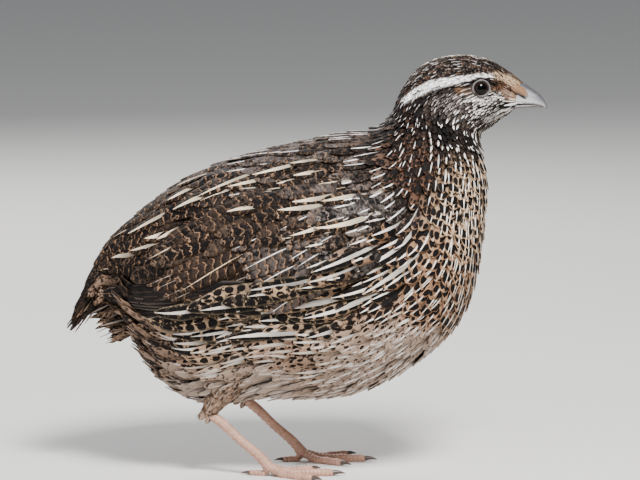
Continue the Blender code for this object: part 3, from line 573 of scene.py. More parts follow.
def coat_lattice():
    """Roots of the body's feathers in staggered rows, closer where they are small: (along, turn)."""
    along = np.linspace(COAT_START, STATIONS[-1] + COAT_END, COAT_STEPS)
    turn = np.linspace(0, math.pi, COAT_TURNS)
    grid_along, grid_turn = np.meshgrid(along, turn, indexing="ij")
    place, by_length, _, _ = surface(grid_along, grid_turn)
    look = plumage_at(place[..., [0, 2]].reshape(-1, 2))
    row = look["row"].reshape(grid_along.shape)
    across = look["across"].reshape(grid_along.shape)
    pace = np.linalg.norm(by_length, axis=-1) / row
    height = np.zeros_like(pace)
    height[1:] = np.cumsum((pace[1:] + pace[:-1]) / 2 * np.diff(along)[:, None], axis=0)
    roots = []
    for k in range(int(height[-1].max()) + 1):
        reached = height[-1] > k
        at = np.array([np.interp(k, height[:, j], along) for j in range(len(turn))])
        line, _, _, _ = surface(at, turn)
        gap = np.array([np.interp(at[j], along, across[:, j]) for j in range(len(turn))])
        step = np.linalg.norm(np.diff(line, axis=0), axis=1) / ((gap[1:] + gap[:-1]) / 2)
        count = np.concatenate([[0], np.cumsum(step)])
        gaps = max(round(count[-1] - 0.5), 1)
        picks = 0.5 * (k % 2) + np.arange(gaps + 1) * (count[-1] - 0.5) / gaps
        picked_turn = np.interp(picks, count, turn)
        picked = np.interp(picks, count, at)
        keep = np.interp(picks, count, reached) > 0.5
        roots.append(np.stack([picked, picked_turn], axis=1)[keep])
    right = np.concatenate(roots)
    forehead = FOREHEAD_REACH * np.exp(-((right[:, 1] / FOREHEAD_TURN) ** 2))
    right = right[right[:, 0] < STATIONS[-1] + COAT_EDGE + forehead]
    left = right[(right[:, 1] > 1e-6) & (right[:, 1] < math.pi - 1e-6)]
    return np.concatenate([right * (1, -1), left])


# A vane's cross section, from edge to edge over the top and back underneath, as shares of its half width.
FINE_TOP, FINE_UNDER = [-1.0, -0.64, -0.3, 0.0, 0.3, 0.64, 1.0], [0.6, 0.0, -0.6]
SMALL_TOP, SMALL_UNDER = [-1.0, -0.5, 0.0, 0.5, 1.0], [0.0]
FINE_RINGS = [0.0, 0.14, 0.28, 0.42, 0.56, 0.68, 0.79, 0.88, 0.95, 1.0]
SMALL_RINGS = [0.0, 0.25, 0.5, 0.72, 0.9, 1.0]
# The outline of a round vane and of a pointed one: shares of its length, and of its half width there.
ROUND_TIP = (0, 0.14, 0.3, 0.55, 0.75, 0.88, 0.95, 1), (0.25, 0.6, 0.86, 1, 0.97, 0.76, 0.5, 0.14)
POINTED_TIP = (0, 0.14, 0.3, 0.5, 0.68, 0.84, 0.94, 1), (0.3, 0.7, 0.95, 1, 0.9, 0.6, 0.3, 0.07)
SHAFT_RISE, VANE_THICKNESS = 0.05, 0.07  # of a vane's half width
CHANCE_REACH = 97  # how far apart two feathers may lie in the noise that marks them
PATCH = 0.003  # of each feather on the OFBake map
# How a feather's numbers are stored on its points, three to a vector.
MARK_GROUPS = {"lines": ("streak", "point", "bars"), "dots": ("spots", "pitch", "blotch"),
               "edges": ("flecks", "fringe", "root_shade")}


def laid(along, turn, length, shares, yaw, bow, low, high):
    """The middle lines of feathers laid from their roots along the body, and the normals there."""
    along, turn, centre, normals = along.copy(), turn.copy(), [], []
    last = 0.0
    for share in shares:
        _, by_length, by_turn, _ = surface(along, turn)
        way = yaw + bow * (last - 0.5)
        step = length * (share - last)
        along = along - np.cos(way) * step / np.linalg.norm(by_length, axis=-1)
        turn = turn + np.sin(way) * step / np.linalg.norm(by_turn, axis=-1)
        place, _, _, normal = surface(along, turn)
        lift = low + (high - low) * share**0.8 + wing_rise(place[:, [0, 2]])
        centre.append(place + normal * lift[:, None])
        normals.append(normal)
        last = share
    return np.stack(centre, axis=1), np.stack(normals, axis=1)


def feathers(
    name, centre, normal, half_width, length, look, patch_at, draws, fine=True, pointed=0.5, fray=0.05,
    camber=0.16, roll=0.1, marks=None,
):
    """One mesh of feathers, each a thin closed vane with its shaft along its middle line.

    Centre and normal hold a line for each feather. Look holds one value for each feather, and marks may
    change its colours by place."""
    top, under = (FINE_TOP, FINE_UNDER) if fine else (SMALL_TOP, SMALL_UNDER)
    shares = np.array(FINE_RINGS if fine else SMALL_RINGS)
    count, rings = centre.shape[:2]
    sides = np.array(top + under)
    lower = np.array([0.0] * len(top) + [1.0] * len(under))
    pointed = np.broadcast_to(pointed, (count,))[:, None]
    width = np.interp(shares, *ROUND_TIP) * (1 - pointed)
    width = width + np.interp(shares, *POINTED_TIP) * pointed
    across = unit(np.cross(normal, np.gradient(centre, axis=1)))
    fray = np.broadcast_to(fray, (count,))[:, None, None]
    torn = 1 + fray * draws.normal(0, 1, (count, rings, 2)) * smooth(shares, 0.15, 0.5)[:, None]
    torn = np.where(sides > 0, torn[..., 1:], torn[..., :1])
    spread = torn * sides * width[..., None] * half_width[:, None, None]
    tilt = roll * draws.normal(0, 1, count)[:, None, None] * settings().ruffle
    rise = spread * tilt - camber * sides**2 * (width * half_width[:, None])[..., None]
    rise = rise + (SHAFT_RISE * (sides == 0) - VANE_THICKNESS * lower) * half_width[:, None, None]
    points = centre[:, :, None] + across[:, :, None] * spread[..., None]
    points = (points + normal[:, :, None] * rise[..., None]).reshape(-1, 3)
    around = len(sides)
    quads, starts, ends = loft_faces(count, rings, around)
    # The faces that close a vane are wound inwards.
    piece = mesh_object(name, points, [quads, ends[:, ::-1], starts[:, ::-1]])

    chance = draws.random(count)[:, None, None]
    to_tip = (length[:, None] * (1 - shares))[..., None]
    put(piece, "vane", by_point(spread.shape, spread, to_tip, chance * CHANCE_REACH))
    put(piece, "share", by_point(spread.shape, np.abs(sides), shares[:, None], chance))
    each = rings * around
    for group, keys in MARK_GROUPS.items():
        put(piece, group, np.repeat(np.stack([look[key] for key in keys], axis=1), each, axis=0))
    for colour in COLOURS:
        values = np.repeat(look[colour], each, axis=0)
        put(piece, colour, marks(colour, values, points) if marks else values)
    u = patch_at[:, 0, None, None] + PATCH * (0.5 + 0.5 * sides)
    v = patch_at[:, 1, None, None] + PATCH * shares[:, None]
    bake_map(piece, by_point(spread.shape, u, v))
    return piece


def by_point(shape, *numbers):
    """The numbers side by side, each spread to the given shape, with a row for each point."""
    spread = [np.broadcast_to(number, shape) for number in numbers]
    return np.stack(spread, axis=-1).reshape(-1, len(numbers))


def loft_faces(count, rings, around):
    """The faces of closed lofts of equally many rings, one after another: the sides, the faces that close
    their starts and the faces that close their ends."""
    here = np.arange(around)
    there = (here + 1) % around
    first = np.arange(count)[:, None, None] * rings * around
    near = first + np.arange(rings - 1)[:, None] * around
    far = near + around
    sides = np.stack([near + here, far + here, far + there, near + there], axis=-1)
    return sides.reshape(-1, 4), first[:, 0] + here, first[:, 0] + (rings - 1) * around + here[::-1]


def faced_outwards(piece):
    """The piece, with the faces of its closed mesh turned outwards."""
    edit = bmesh.new()
    edit.from_mesh(piece.data)
    bmesh.ops.recalc_face_normals(edit, faces=edit.faces)
    edit.to_mesh(piece.data)
    edit.free()
    return piece


def lofted(name, rings):
    """A closed mesh through rings of equally many points, with its faces outwards."""
    return faced_outwards(mesh_object(name, rings.reshape(-1, 3), loft_faces(1, *rings.shape[:2])))


def loft_as_wound(name, rings):
    """A closed mesh through rings of equally many points, with its faces wound as the rings run."""
    sides, starts, ends = loft_faces(1, *rings.shape[:2])
    return mesh_object(name, rings.reshape(-1, 3), [sides[:, [0, 3, 2, 1]], starts[:, ::-1], ends[:, ::-1]])


def mesh_object(name, points, groups):
    """A smooth mesh object from points and groups of faces, each an array of equally many corners."""
    mesh = bpy.data.meshes.new(name)
    mesh.vertices.add(len(points))
    mesh.vertices.foreach_set("co", (np.asarray(points) * MM).astype(np.float32).ravel())
    corners = np.concatenate([group.ravel() for group in groups])
    sizes = np.concatenate([np.full(len(group), group.shape[1]) for group in groups])
    mesh.loops.add(len(corners))
    mesh.loops.foreach_set("vertex_index", corners.astype(np.int32))
    mesh.polygons.add(len(sizes))
    mesh.polygons.foreach_set("loop_start", (np.cumsum(sizes) - sizes).astype(np.int32))
    mesh.update(calc_edges=True)
    mesh.validate()
    mesh.shade_smooth()
    made = bpy.data.objects.new(name, mesh)
    bpy.context.scene.collection.objects.link(made)
    return made


def set_modifiers(piece):
    """Makes what a piece's modifiers give its own mesh."""
    graph = bpy.context.evaluated_depsgraph_get()
    piece.data = bpy.data.meshes.new_from_object(piece.evaluated_get(graph))
    piece.modifiers.clear()


def points_of(mesh):
    """A mesh's points in metres, one to a row."""
    flat = np.zeros(len(mesh.vertices) * 3)
    mesh.vertices.foreach_get("co", flat)
    return flat.reshape(-1, 3)


def put(piece, name, values):
    """Stores a vector at each point of a mesh, for its material."""
    stored = piece.data.attributes.new(name, "FLOAT_VECTOR", "POINT")
    stored.data.foreach_set("vector", np.asarray(values, np.float32).ravel())


def bake_map(piece, by_point):
    """Gives a mesh its OFBake map, from one place on the map for each point."""
    mesh = piece.data
    corner = np.zeros(len(mesh.loops), np.int32)
    mesh.loops.foreach_get("vertex_index", corner)
    layer = mesh.uv_layers.new(name="OFBake")
    layer.data.foreach_set("uv", by_point[corner].astype(np.float32).ravel())


def unwrapped(along, turn):
    """Places of roots on an unwrap of the skin between them: round the body across, along it up."""
    flat = np.stack([turn / math.tau, along / (STATIONS[-1] - STATIONS[0])], axis=1)
    low, high = flat.min(axis=0), flat.max(axis=0)
    return (flat - low) / np.maximum(high - low, 1e-6) * (1 - 2 * PATCH)


def result(node):
    """A node's output that is in use."""
    return next(output for output in node.outputs if output.enabled)


def add(tree, kind, *inputs, **values):
    """Adds a node and returns it. Inputs go to its sockets in order, and a value whose name has a capital
    letter to the socket of that name. The other values are the node's settings."""
    made = tree.nodes.new("ShaderNode" + kind)
    for name, value in values.items():
        if name.islower():
            setattr(made, name, value)
    pairs = list(zip((socket for socket in made.inputs if socket.enabled), inputs))
    pairs += [(made.inputs[name], value) for name, value in values.items() if not name.islower()]
    for socket, source in pairs:
        if isinstance(source, bpy.types.Node):
            source = result(source)
        if isinstance(source, bpy.types.NodeSocket):
            tree.links.new(source, socket)
        else:
            socket.default_value = source
    return made


def new_material(name, shader):
    """A material whose shader has the given values, and its tree, or None for the tree where the material
    is there already."""
    made = bpy.data.materials.get(name)
    if made:
        return made, None
    made = bpy.data.materials.new(name)
    made.use_nodes = True
    for socket, value in shader.items():
        made.node_tree.nodes["Principled BSDF"].inputs[socket].default_value = value
    return made, made.node_tree


def shaded(material, colour, bump=None):
    """The material, with a colour led to its shader, and a bump where there is one."""
    tree = material.node_tree
    sockets = tree.nodes["Principled BSDF"].inputs
    tree.links.new(result(colour), sockets["Base Color"])
    if bump:
        tree.links.new(result(bump), sockets["Normal"])
    return material


BARB_PITCH = 0.42  # real barbs are 0.15 mm apart, too fine for the render, so they are drawn coarser
BAR_PITCH = 3.1
BAR_WIDTH = 0.2


def feather_keratin():
    """Contour feathers: keratin barbs hooked together in a matt vane, nearly without gloss. Pigment laid
    down as they grow makes spots beside the shaft, bars across it and a streak along it."""
    material, tree = new_material("feather_keratin", {"Roughness": 0.7, "Specular IOR Level": 0.12})
    if tree is None:
        return material

    vane, share, lines, dots, edges = [
        add(tree, "Attribute", attribute_name=name).outputs["Vector"]
        for name in ("vane", "share", "lines", "dots", "edges")
    ]
    across, tip, _ = add(tree, "SeparateXYZ", vane).outputs
    edge, along, mood = add(tree, "SeparateXYZ", share).outputs
    streak, point, bars = add(tree, "SeparateXYZ", lines).outputs
    spots, pitch, blotch = add(tree, "SeparateXYZ", dots).outputs
    flecks, fringe, root_shade = add(tree, "SeparateXYZ", edges).outputs
    ground, dark, pale, bar = [
        add(tree, "Attribute", attribute_name=name).outputs["Color"] for name in COLOURS
    ]

    # Unevenness: everything drawn on a vane wanders a little.
    waver = add(tree, "TexNoise", Vector=vane, Scale=0.75, Detail=3.0).outputs["Color"]
    side_waver, length_waver, blot = add(tree, "SeparateXYZ", waver).outputs
    off = add(tree, "Math", across, operation="ABSOLUTE")
    off = add(tree, "Math", off, 0.15, operation="SUBTRACT")
    off = add(tree, "Math", side_waver, 0.3, off, operation="MULTIPLY_ADD")
    down = add(tree, "Math", length_waver, 3.2, tip, operation="MULTIPLY_ADD")

    # Blotches: dark clouds that take up part of the vane.
    cloud = add(tree, "Math", blotch, 0.5, blot, operation="MULTIPLY_ADD")
    cloud = add(tree, "MapRange", cloud, 0.62, 0.72, interpolation_type="SMOOTHSTEP")
    colour = add(tree, "Mix", cloud, ground, dark, data_type="RGBA")

    # Flecks: zigzag freckling across the vane, about 0.6 mm apart.
    grain = add(tree, "VectorMath", vane, (0.8, 1.7, 1.0), operation="MULTIPLY")
    freckle = add(tree, "TexNoise", Vector=grain, Scale=1.0, Detail=3.0, Roughness=0.7)
    deep = add(tree, "MapRange", freckle, 0.5, 0.62, 0.0, 0.85, interpolation_type="SMOOTHSTEP")
    deep = add(tree, "Math", deep, flecks, operation="MULTIPLY")
    colour = add(tree, "Mix", deep, colour, dark, data_type="RGBA")
    light = add(tree, "MapRange", freckle, 0.44, 0.34, 0.0, 0.6, interpolation_type="SMOOTHSTEP")
    light = add(tree, "Math", light, flecks, operation="MULTIPLY")
    colour = add(tree, "Mix", light, colour, bar, data_type="RGBA")

    # Cross bars: thin wavy pale lines, each with a dark shade that fades away from it towards the root.
    wave = add(tree, "Math", off, 0.6, down, operation="MULTIPLY_ADD")
    wave = add(tree, "Math", wave, BAR_PITCH, operation="FLOORED_MODULO")
    shadow = add(tree, "MapRange", wave, 2.5, 0.5, 0.0, 0.9, interpolation_type="SMOOTHSTEP")
    shadow = add(tree, "Math", shadow, bars, operation="MULTIPLY")
    colour = add(tree, "Mix", shadow, colour, dark, data_type="RGBA")
    line = add(tree, "Math", wave, BAR_WIDTH, operation="SUBTRACT")
    line = add(tree, "Math", line, operation="ABSOLUTE")
    line = add(tree, "MapRange", line, 1.25 * BAR_WIDTH, 0.6 * BAR_WIDTH, interpolation_type="SMOOTHSTEP")
    line = add(tree, "Math", line, bars, operation="MULTIPLY")
    colour = add(tree, "Mix", line, colour, bar, data_type="RGBA")

    # Spots: a dark drop on each side of the shaft, repeated towards the root, and less regular on blotched
    # feathers.
    beat = add(tree, "Math", length_waver, 1.4, tip, operation="MULTIPLY_ADD")
    beat = add(tree, "Math", beat, 0.7, operation="SUBTRACT")
    beat = add(tree, "Math", beat, pitch, operation="DIVIDE")
    beat = add(tree, "Math", beat, 1.0, operation="FLOORED_MODULO")
    beat = add(tree, "Math", beat, 4.2, -2.1, operation="MULTIPLY_ADD")
    beat = add(tree, "Math", beat, beat, operation="MULTIPLY")
    wide = add(tree, "Math", edge, 3.4, -1.6, operation="MULTIPLY_ADD")
    far = add(tree, "Math", wide, wide, beat, operation="MULTIPLY_ADD")
    rough = add(tree, "Math", blotch, 3.0, 0.4, operation="MULTIPLY_ADD")
    uneven = add(tree, "Math", blot, 0.5, operation="SUBTRACT")
    far = add(tree, "Math", uneven, rough, far, operation="MULTIPLY_ADD")
    size = add(tree, "Math", spots, operation="ABSOLUTE")
    size = add(tree, "Math", size, spots, operation="MULTIPLY")
    spot = add(tree, "Math", size, far, operation="SUBTRACT")
    spot = add(tree, "MapRange", spot, -0.06, 0.12, interpolation_type="SMOOTHSTEP")
    colour = add(tree, "Mix", spot, colour, dark, data_type="RGBA")

    # The fringe: a rim of another colour round the tip.
    rim = add(tree, "MapRange", edge, 0.7, 0.98, interpolation_type="SMOOTHSTEP")
    end = add(tree, "MapRange", tip, 0.7, 0.1, interpolation_type="SMOOTHSTEP")
    rim = add(tree, "Math", rim, end, operation="MAXIMUM")
    rim = add(tree, "Math", rim, fringe, operation="MULTIPLY")
    colour = add(tree, "Mix", rim, colour, bar, data_type="RGBA")

    # The shaft's streak, drawn out to a point at the tip.
    taper = add(tree, "Math", tip, point, operation="DIVIDE")
    taper = add(tree, "MapRange", taper, 0.0, 1.0)
    taper = add(tree, "Math", taper, 0.65, operation="POWER")
    half = add(tree, "Math", streak, taper, operation="MULTIPLY")
    half = add(tree, "Math", half, off, operation="SUBTRACT")
    half = add(tree, "MapRange", half, -0.04, 0.08, interpolation_type="SMOOTHSTEP")
    colour = add(tree, "Mix", half, colour, pale, data_type="RGBA")

    # Barbs: fine lines that slant from the shaft towards the tip. Feathers differ a little in tone, and
    # are darker towards the root: painted shade where the feathers over them would shadow them.
    slant = add(tree, "Math", off, 0.75, operation="MULTIPLY")
    slant = add(tree, "Math", tip, 0.65, slant, operation="MULTIPLY_ADD")
    slant = add(tree, "Math", slant, math.tau / BARB_PITCH, operation="MULTIPLY")
    barbs = add(tree, "Math", slant, operation="SINE")
    tone = add(tree, "Math", barbs, 0.07, 1.0, operation="MULTIPLY_ADD")
    mood = add(tree, "Math", mood, 0.3, 0.85, operation="MULTIPLY_ADD")
    tone = add(tree, "Math", tone, mood, operation="MULTIPLY")
    # painted shade towards the root
    painted_root_shade = add(tree, "MapRange", along, 0.8, 0.4, interpolation_type="SMOOTHSTEP")
    painted_root_shade = add(tree, "Math", painted_root_shade, root_shade, operation="MULTIPLY")
    bright = add(tree, "Math", 1.0, painted_root_shade, operation="SUBTRACT")
    tone = add(tree, "Math", tone, bright, operation="MULTIPLY")
    colour = add(tree, "VectorMath", colour, tone, operation="SCALE")
    bump = add(tree, "Bump", Height=barbs, Strength=0.25, Distance=0.00006)
    return shaded(material, colour, bump)


def skin_material():
    """Bird skin: thin and pink, with the down that grows between the feathers in their own colours."""
    material, tree = new_material("down_covered_skin", {"Roughness": 0.85, "Specular IOR Level": 0.2})
    if tree is None:
        return material
    ground = add(tree, "Attribute", attribute_name="ground").outputs["Color"]
    dark = add(tree, "Attribute", attribute_name="dark").outputs["Color"]
    place = add(tree, "TexCoord").outputs["Object"]
    down = add(tree, "TexNoise", Vector=place, Scale=1 / (1.2 * MM), Detail=3.0)
    colour = add(tree, "Mix", down.outputs[0], ground, dark, data_type="RGBA")
    colour = add(tree, "VectorMath", colour, 0.6, operation="SCALE")
    bump = add(tree, "Bump", Height=down.outputs[0], Strength=0.6, Distance=0.0002)
    return shaded(material, colour, bump)


def finished(piece, material, slot, *nodes):
    """Gives a piece its material, lets it ride with the bird and stand for the solids it replaces."""
    piece.data.materials.clear()
    piece.data.materials.append(material)
    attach(piece, "root")
    if nodes:
        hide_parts(*nodes)
    return piece


def coat_depth(along):
    """The coat's depth at places along the body. It is less on the head."""
    depth, face = settings().coat_depth / MM, settings().face_depth / MM
    return depth + (face - depth) * smooth(along, station(NECK_BASE), station(CHEEK))


# How far inside the ends of the loft the skin starts and ends, and how fine it is along and round the body.
SKIN_START, SKIN_END, SKIN_RINGS, SKIN_AROUND = 7.0, 0.2, 190, 128


class QUAIL_OT_skin(bpy.types.Operator):
    """One skin over torso, neck, head and thighs, inside the coat"""

    bl_idname = "quail.skin"
    bl_label = "Skin"

    def execute(self, context):
        along = np.linspace(STATIONS[0] + SKIN_START, STATIONS[-1] - SKIN_END, SKIN_RINGS)
        turn = np.linspace(-math.pi, math.pi, SKIN_AROUND, endpoint=False)
        place, _, _, normal = surface(*np.meshgrid(along, turn, indexing="ij"))
        skin = loft_as_wound("skin", place - normal * coat_depth(along)[:, None, None])
        thighs = [thigh_mesh(side) for side in SIDES]
        for thigh in thighs:
            union = skin.modifiers.new("thigh", "BOOLEAN")
            union.operation = "UNION"
            union.object = thigh
        set_modifiers(skin)
        for thigh in thighs:
            bpy.data.objects.remove(thigh)
        spots = points_of(skin.data) / MM
        look = plumage_at(spots[:, [0, 2]])
        put(skin, "ground", striped(look["ground"], spots))
        put(skin, "dark", look["dark"])
        skin.data.shade_smooth()
        finished(skin, skin_material(), "body_feather", "torso", "neck", "head", "thigh_left", "thigh_right")
        return {"FINISHED"}


# The legs, as in the solids: hock and foot joint on each side as (x, z), and how far they are from the
# midline.
LEG_SPREAD = 14.0
HOCK = {"left": (-22.0, 22.0), "right": (-32.0, 21.5)}
FOOT = {"left": (-1.5, 3.4), "right": (-11.5, 3.4)}
KNEE_FORE, KNEE_UP = 15.0, 24.0  # from the hock
THIGH_SHARES, THIGH_SKIN = (0.0, 0.15, 0.35, 0.6, 0.85), (1.7, 2.8, 4.8, 6.6, 6.4)  # radii, from the hock up


def leg_points(name):
    """(knee, hock, foot) of one leg."""
    y = SIDES[name] * LEG_SPREAD
    hock = np.array([HOCK[name][0], y, HOCK[name][1]])
    foot = np.array([FOOT[name][0], y, FOOT[name][1]])
    return hock + (KNEE_FORE, 0, KNEE_UP), hock, foot


def tube(name, path, radii, around=24, relief=None):
    """A closed round tube through a path, with a radius at each point. Relief(along, turn) raises it."""
    path, radii = np.asarray(path, float), np.asarray(radii, float)
    way = unit(np.gradient(path, axis=0))
    side = unit(np.cross(way, (0.0, -1.0, 0.0)))
    up = np.cross(side, way)
    turn = np.linspace(0, math.tau, around, endpoint=False)
    reach = np.broadcast_to(radii[:, None], (len(path), around)).copy()
    if relief:
        reach += relief(lengths_along(path)[:, None], turn[None, :])
    spokes = side[:, None] * np.cos(turn)[:, None] + up[:, None] * np.sin(turn)[:, None]
    return lofted(name, path[:, None] + spokes * reach[..., None])


def thigh_mesh(name):
    knee, hock, _ = leg_points(name)
    shares = np.linspace(0.02, 0.85, 14)
    radii = np.interp(shares, THIGH_SHARES, THIGH_SKIN)
    return tube("thigh", hock + (knee - hock) * shares[:, None], radii)


STRIPE_COVER = 0.8  # how much of the spots and streaks the head's stripes cover


def head_marks(colour, values, points):
    """The stripes of the head, painted over the ground and over most of the other colours."""
    painted = striped(values, points)
    return painted if colour in ("ground", "bar") else values + (painted - values) * STRIPE_COVER


# How unevenly feathers lie at a ruffle of 1.
UNEVEN_LENGTH, UNEVEN_WIDTH, UNEVEN_YAW, UNEVEN_BOW = 0.07, 0.05, 0.07, 0.12
PUFF = 0.8  # how far a loose feather's tip stands off the body, for each step that it lies looser


def coat_piece(name, roots, look, fine, draws, marks=None, lift=None, pointed=0.35):
    """Body feathers laid and dressed as their plumage says, as one piece. Lift is that of root and tip."""
    along, turn = roots.T
    depth, ruffle, count = coat_depth(along), settings().ruffle, len(along)
    length = look["length"] * (1 + UNEVEN_LENGTH * ruffle * draws.normal(0, 1, count))
    half_width = look["half_width"] * (1 + UNEVEN_WIDTH * ruffle * draws.normal(0, 1, count))
    ruffle = ruffle * look["loose"]
    yaw = UNEVEN_YAW * ruffle * draws.normal(0, 1, count)
    bow = UNEVEN_BOW * ruffle * draws.normal(0, 1, count)
    low = (-depth - 0.15) * (1 - 0.75 * smooth(along, STATIONS[-1] - 5.0, STATIONS[-1] - 1.0))
    high = (0.1 + 0.08 * ruffle * draws.normal(0, 1, count)) * depth / 1.7
    high = high + PUFF * np.maximum(look["loose"] - 1.5, 0)
    if lift is not None:
        low, high = lift[0], high + lift[1]
    shares = FINE_RINGS if fine else SMALL_RINGS
    centre, normal = laid(along, turn, length, shares, yaw, bow, low, high)
    piece = feathers(
        name, centre, normal, half_width, length, look, unwrapped(along, turn), draws, fine,
        pointed=pointed, fray=0.05 * look["loose"], marks=marks,
    )
    return finished(piece, feather_keratin(), slot_of(name))


def slot_of(name):
    for part in ("head", "neck", "wing", "tail"):
        if part in name:
            return part + "_feather"
    return "body_feather"


EYE_CLEAR = 4.0  # no feather grows closer than this to the middle of the eye
LID_EDGE = 3.15  # and none runs over the lids
JITTER = 0.11  # how far a root lies from its place, of the distance to the next one
PLAIN_ROW, PLAIN_SHARE = 2.0, 0.4  # rows closer than this have this share of feathers without spots


def coat_layout():
    """Every body feather's root and look, the same whenever it is asked for."""
    draws = np.random.default_rng(settings().seed)
    roots = coat_lattice()
    place, by_length, by_turn, _ = surface(*roots.T)
    flat = place[:, [0, 2]]
    even = plumage_at(flat)
    jitter = draws.normal(0, JITTER, roots.shape) * settings().ruffle
    roots[:, 0] += jitter[:, 0] * even["row"] / np.linalg.norm(by_length, axis=1)
    roots[:, 1] += jitter[:, 1] * even["across"] / np.linalg.norm(by_turn, axis=1)
    place, _, _, _ = surface(*roots.T)
    flat = place[:, [0, 2]]
    look = plumage_at(flat, draws)
    for name in ("length", "half_width", "row"):
        look[name] = even[name]
    look = dressed(look, draws)
    plain = (look["row"] < PLAIN_ROW) & (draws.random(len(flat)) < PLAIN_SHARE)
    look["spots"] = np.where(plain, -1.0, look["spots"])
    # less painted root shade on the feathers next to the bill
    look["root_shade"] *= 1 - 0.9 * smooth(flat[:, 0], 64.5, 68.5)
    bare, _ = off_line(flat, GAPE)
    flap, _ = off_line(flat, FLAP)
    slit, _ = off_line(flat, SLIT)
    keep = (inside(flat, WING_WINDOW) < 0.5) & (bare > 0.65) & ((flap > 1.0) | (flat[:, 0] < 69.6))
    keep &= slit > 0.75
    keep &= np.linalg.norm(place - eye_middles(place), axis=1) > EYE_CLEAR
    way = -unit(by_length[:, [0, 2]])
    off = np.subtract(EYE_AT[::2], flat)
    ahead = (off * way).sum(axis=1)
    aside = np.linalg.norm(off - ahead[:, None] * way, axis=1)
    room = ahead - np.sqrt(np.clip(LID_EDGE**2 - aside**2, 0, None))
    near = (ahead > 0) & (aside < LID_EDGE) & (room < look["length"])
    look["length"] = np.where(near, room, look["length"])
    keep &= look["length"] > 0.9
    return roots[keep], {name: values[keep] for name, values in look.items()}


def eye_middles(places):
    """The middle of the eye on each place's side."""
    x, y, z = EYE_AT
    side = np.where(places[:, 1:2] > 0, 1.0, -1.0)
    return side * (0, y, 0) + (x, 0, z)


def coat_parts(roots):
    """Which piece of the coat each feather belongs to."""
    along, turn = roots.T
    angle = np.abs(turn)
    head, neck = station(THROAT) + 2.0, station(CROP) + 4.0
    names = np.full(len(roots), "coat_flank_right", dtype=object)
    names[turn > 0] = "coat_flank_left"
    names[angle < math.radians(62)] = "coat_back"
    names[angle > math.radians(128)] = "coat_belly"
    names[along > station(BACK) + 8.0] = "coat_breast"
    names[along > neck] = "coat_neck"
    names[along > head] = "coat_head"
    return names


class QUAIL_OT_coat(bpy.types.Operator):
    """The feathers of head, neck, breast, back, flanks and belly"""

    bl_idname = "quail.coat"
    bl_label = "Body feathers"

    def execute(self, context):
        roots, look = coat_layout()
        names = coat_parts(roots)
        for i, name in enumerate(sorted(set(names))):
            mine = names == name
            draws = np.random.default_rng([settings().seed, i])
            part = {key: values[mine] for key, values in look.items()}
            small = name == "coat_head"
            tips = 0.1 if name in ("coat_breast", "coat_belly", "coat_neck") else 0.3
            marks = head_marks if small else None
            coat_piece(name, roots[mine], part, not small, draws, marks, pointed=tips)
        for side_name in SIDES:
            plumes(side_name, np.random.default_rng([settings().seed, 30]))
            thigh_coat(side_name, np.random.default_rng([settings().seed, 40]))
        return {"FINISHED"}


# The plumes with a bold streak: their streaks, their plumage and the streaks' pigments.
PLUMES = [
    (BACK_STREAKS, "scapular", {"cream": 4, "white": 1}),
    (SIDE_STREAKS, "flank", {"white": 3, "cream": 2}),
]
PLUME_LIFT = (-0.7, 0.5)  # of a plume's root and tip off the body


def plumes(side_name, draws):
    """The plumes with a bold streak on one side, as one piece that lies over the rest of the coat."""
    parts = []
    for streaks, plumage, pale in PLUMES:
        middle, size = np.array(streaks)[:, :2], np.array(streaks)[:, 2]
        count = len(streaks)
        along, turn = place_on_side(middle)
        look = dressed(whole_look(PLUMAGES[plumage], count), draws)
        look["streak"] = draws.uniform(*STREAK_WIDTHS, count)
        look["point"] = 0.85 * size
        look["pale"] = np.tile(mixed(pale), (count, 1)) * draws.uniform(0.8, 1.05, (count, 1))
        look["length"], look["blotch"] = 1.7 * size, look["blotch"] + 0.1
        _, by_length, _, _ = surface(along, turn)
        along = along + 1.2 * size / np.linalg.norm(by_length, axis=1)
        parts.append((np.stack([along, turn * SIDES[side_name]], axis=1), look))
    roots = np.concatenate([part[0] for part in parts])
    look = {key: np.concatenate([part[1][key] for part in parts]) for key in parts[0][1]}
    look["half_width"] = look["half_width"] * 0.75
    return coat_piece(f"streaked_plumes_{side_name}", roots, look, True, draws, lift=PLUME_LIFT)


THIGH_PLUMAGE = Plumage(
    {"bark": 1, "buff": 2, "sand": 1}, "bark", "sand", "buff",
    (0, 0, 0, 1.5), (0.25, 3.0, 0.3, 0, 4, 0, 0.2, 0.3, 0.3),
)
THIGH_ROW = 2.2  # from one row down to the next
# How far the thigh's surface is from its axis, at distances from the knee.
THIGH_RADII = ((0.0, 4.2, 11.3, 18.4, 24.1, 28.3, 40.0), (6.4, 6.4, 6.6, 4.8, 2.8, 1.7, 1.6))


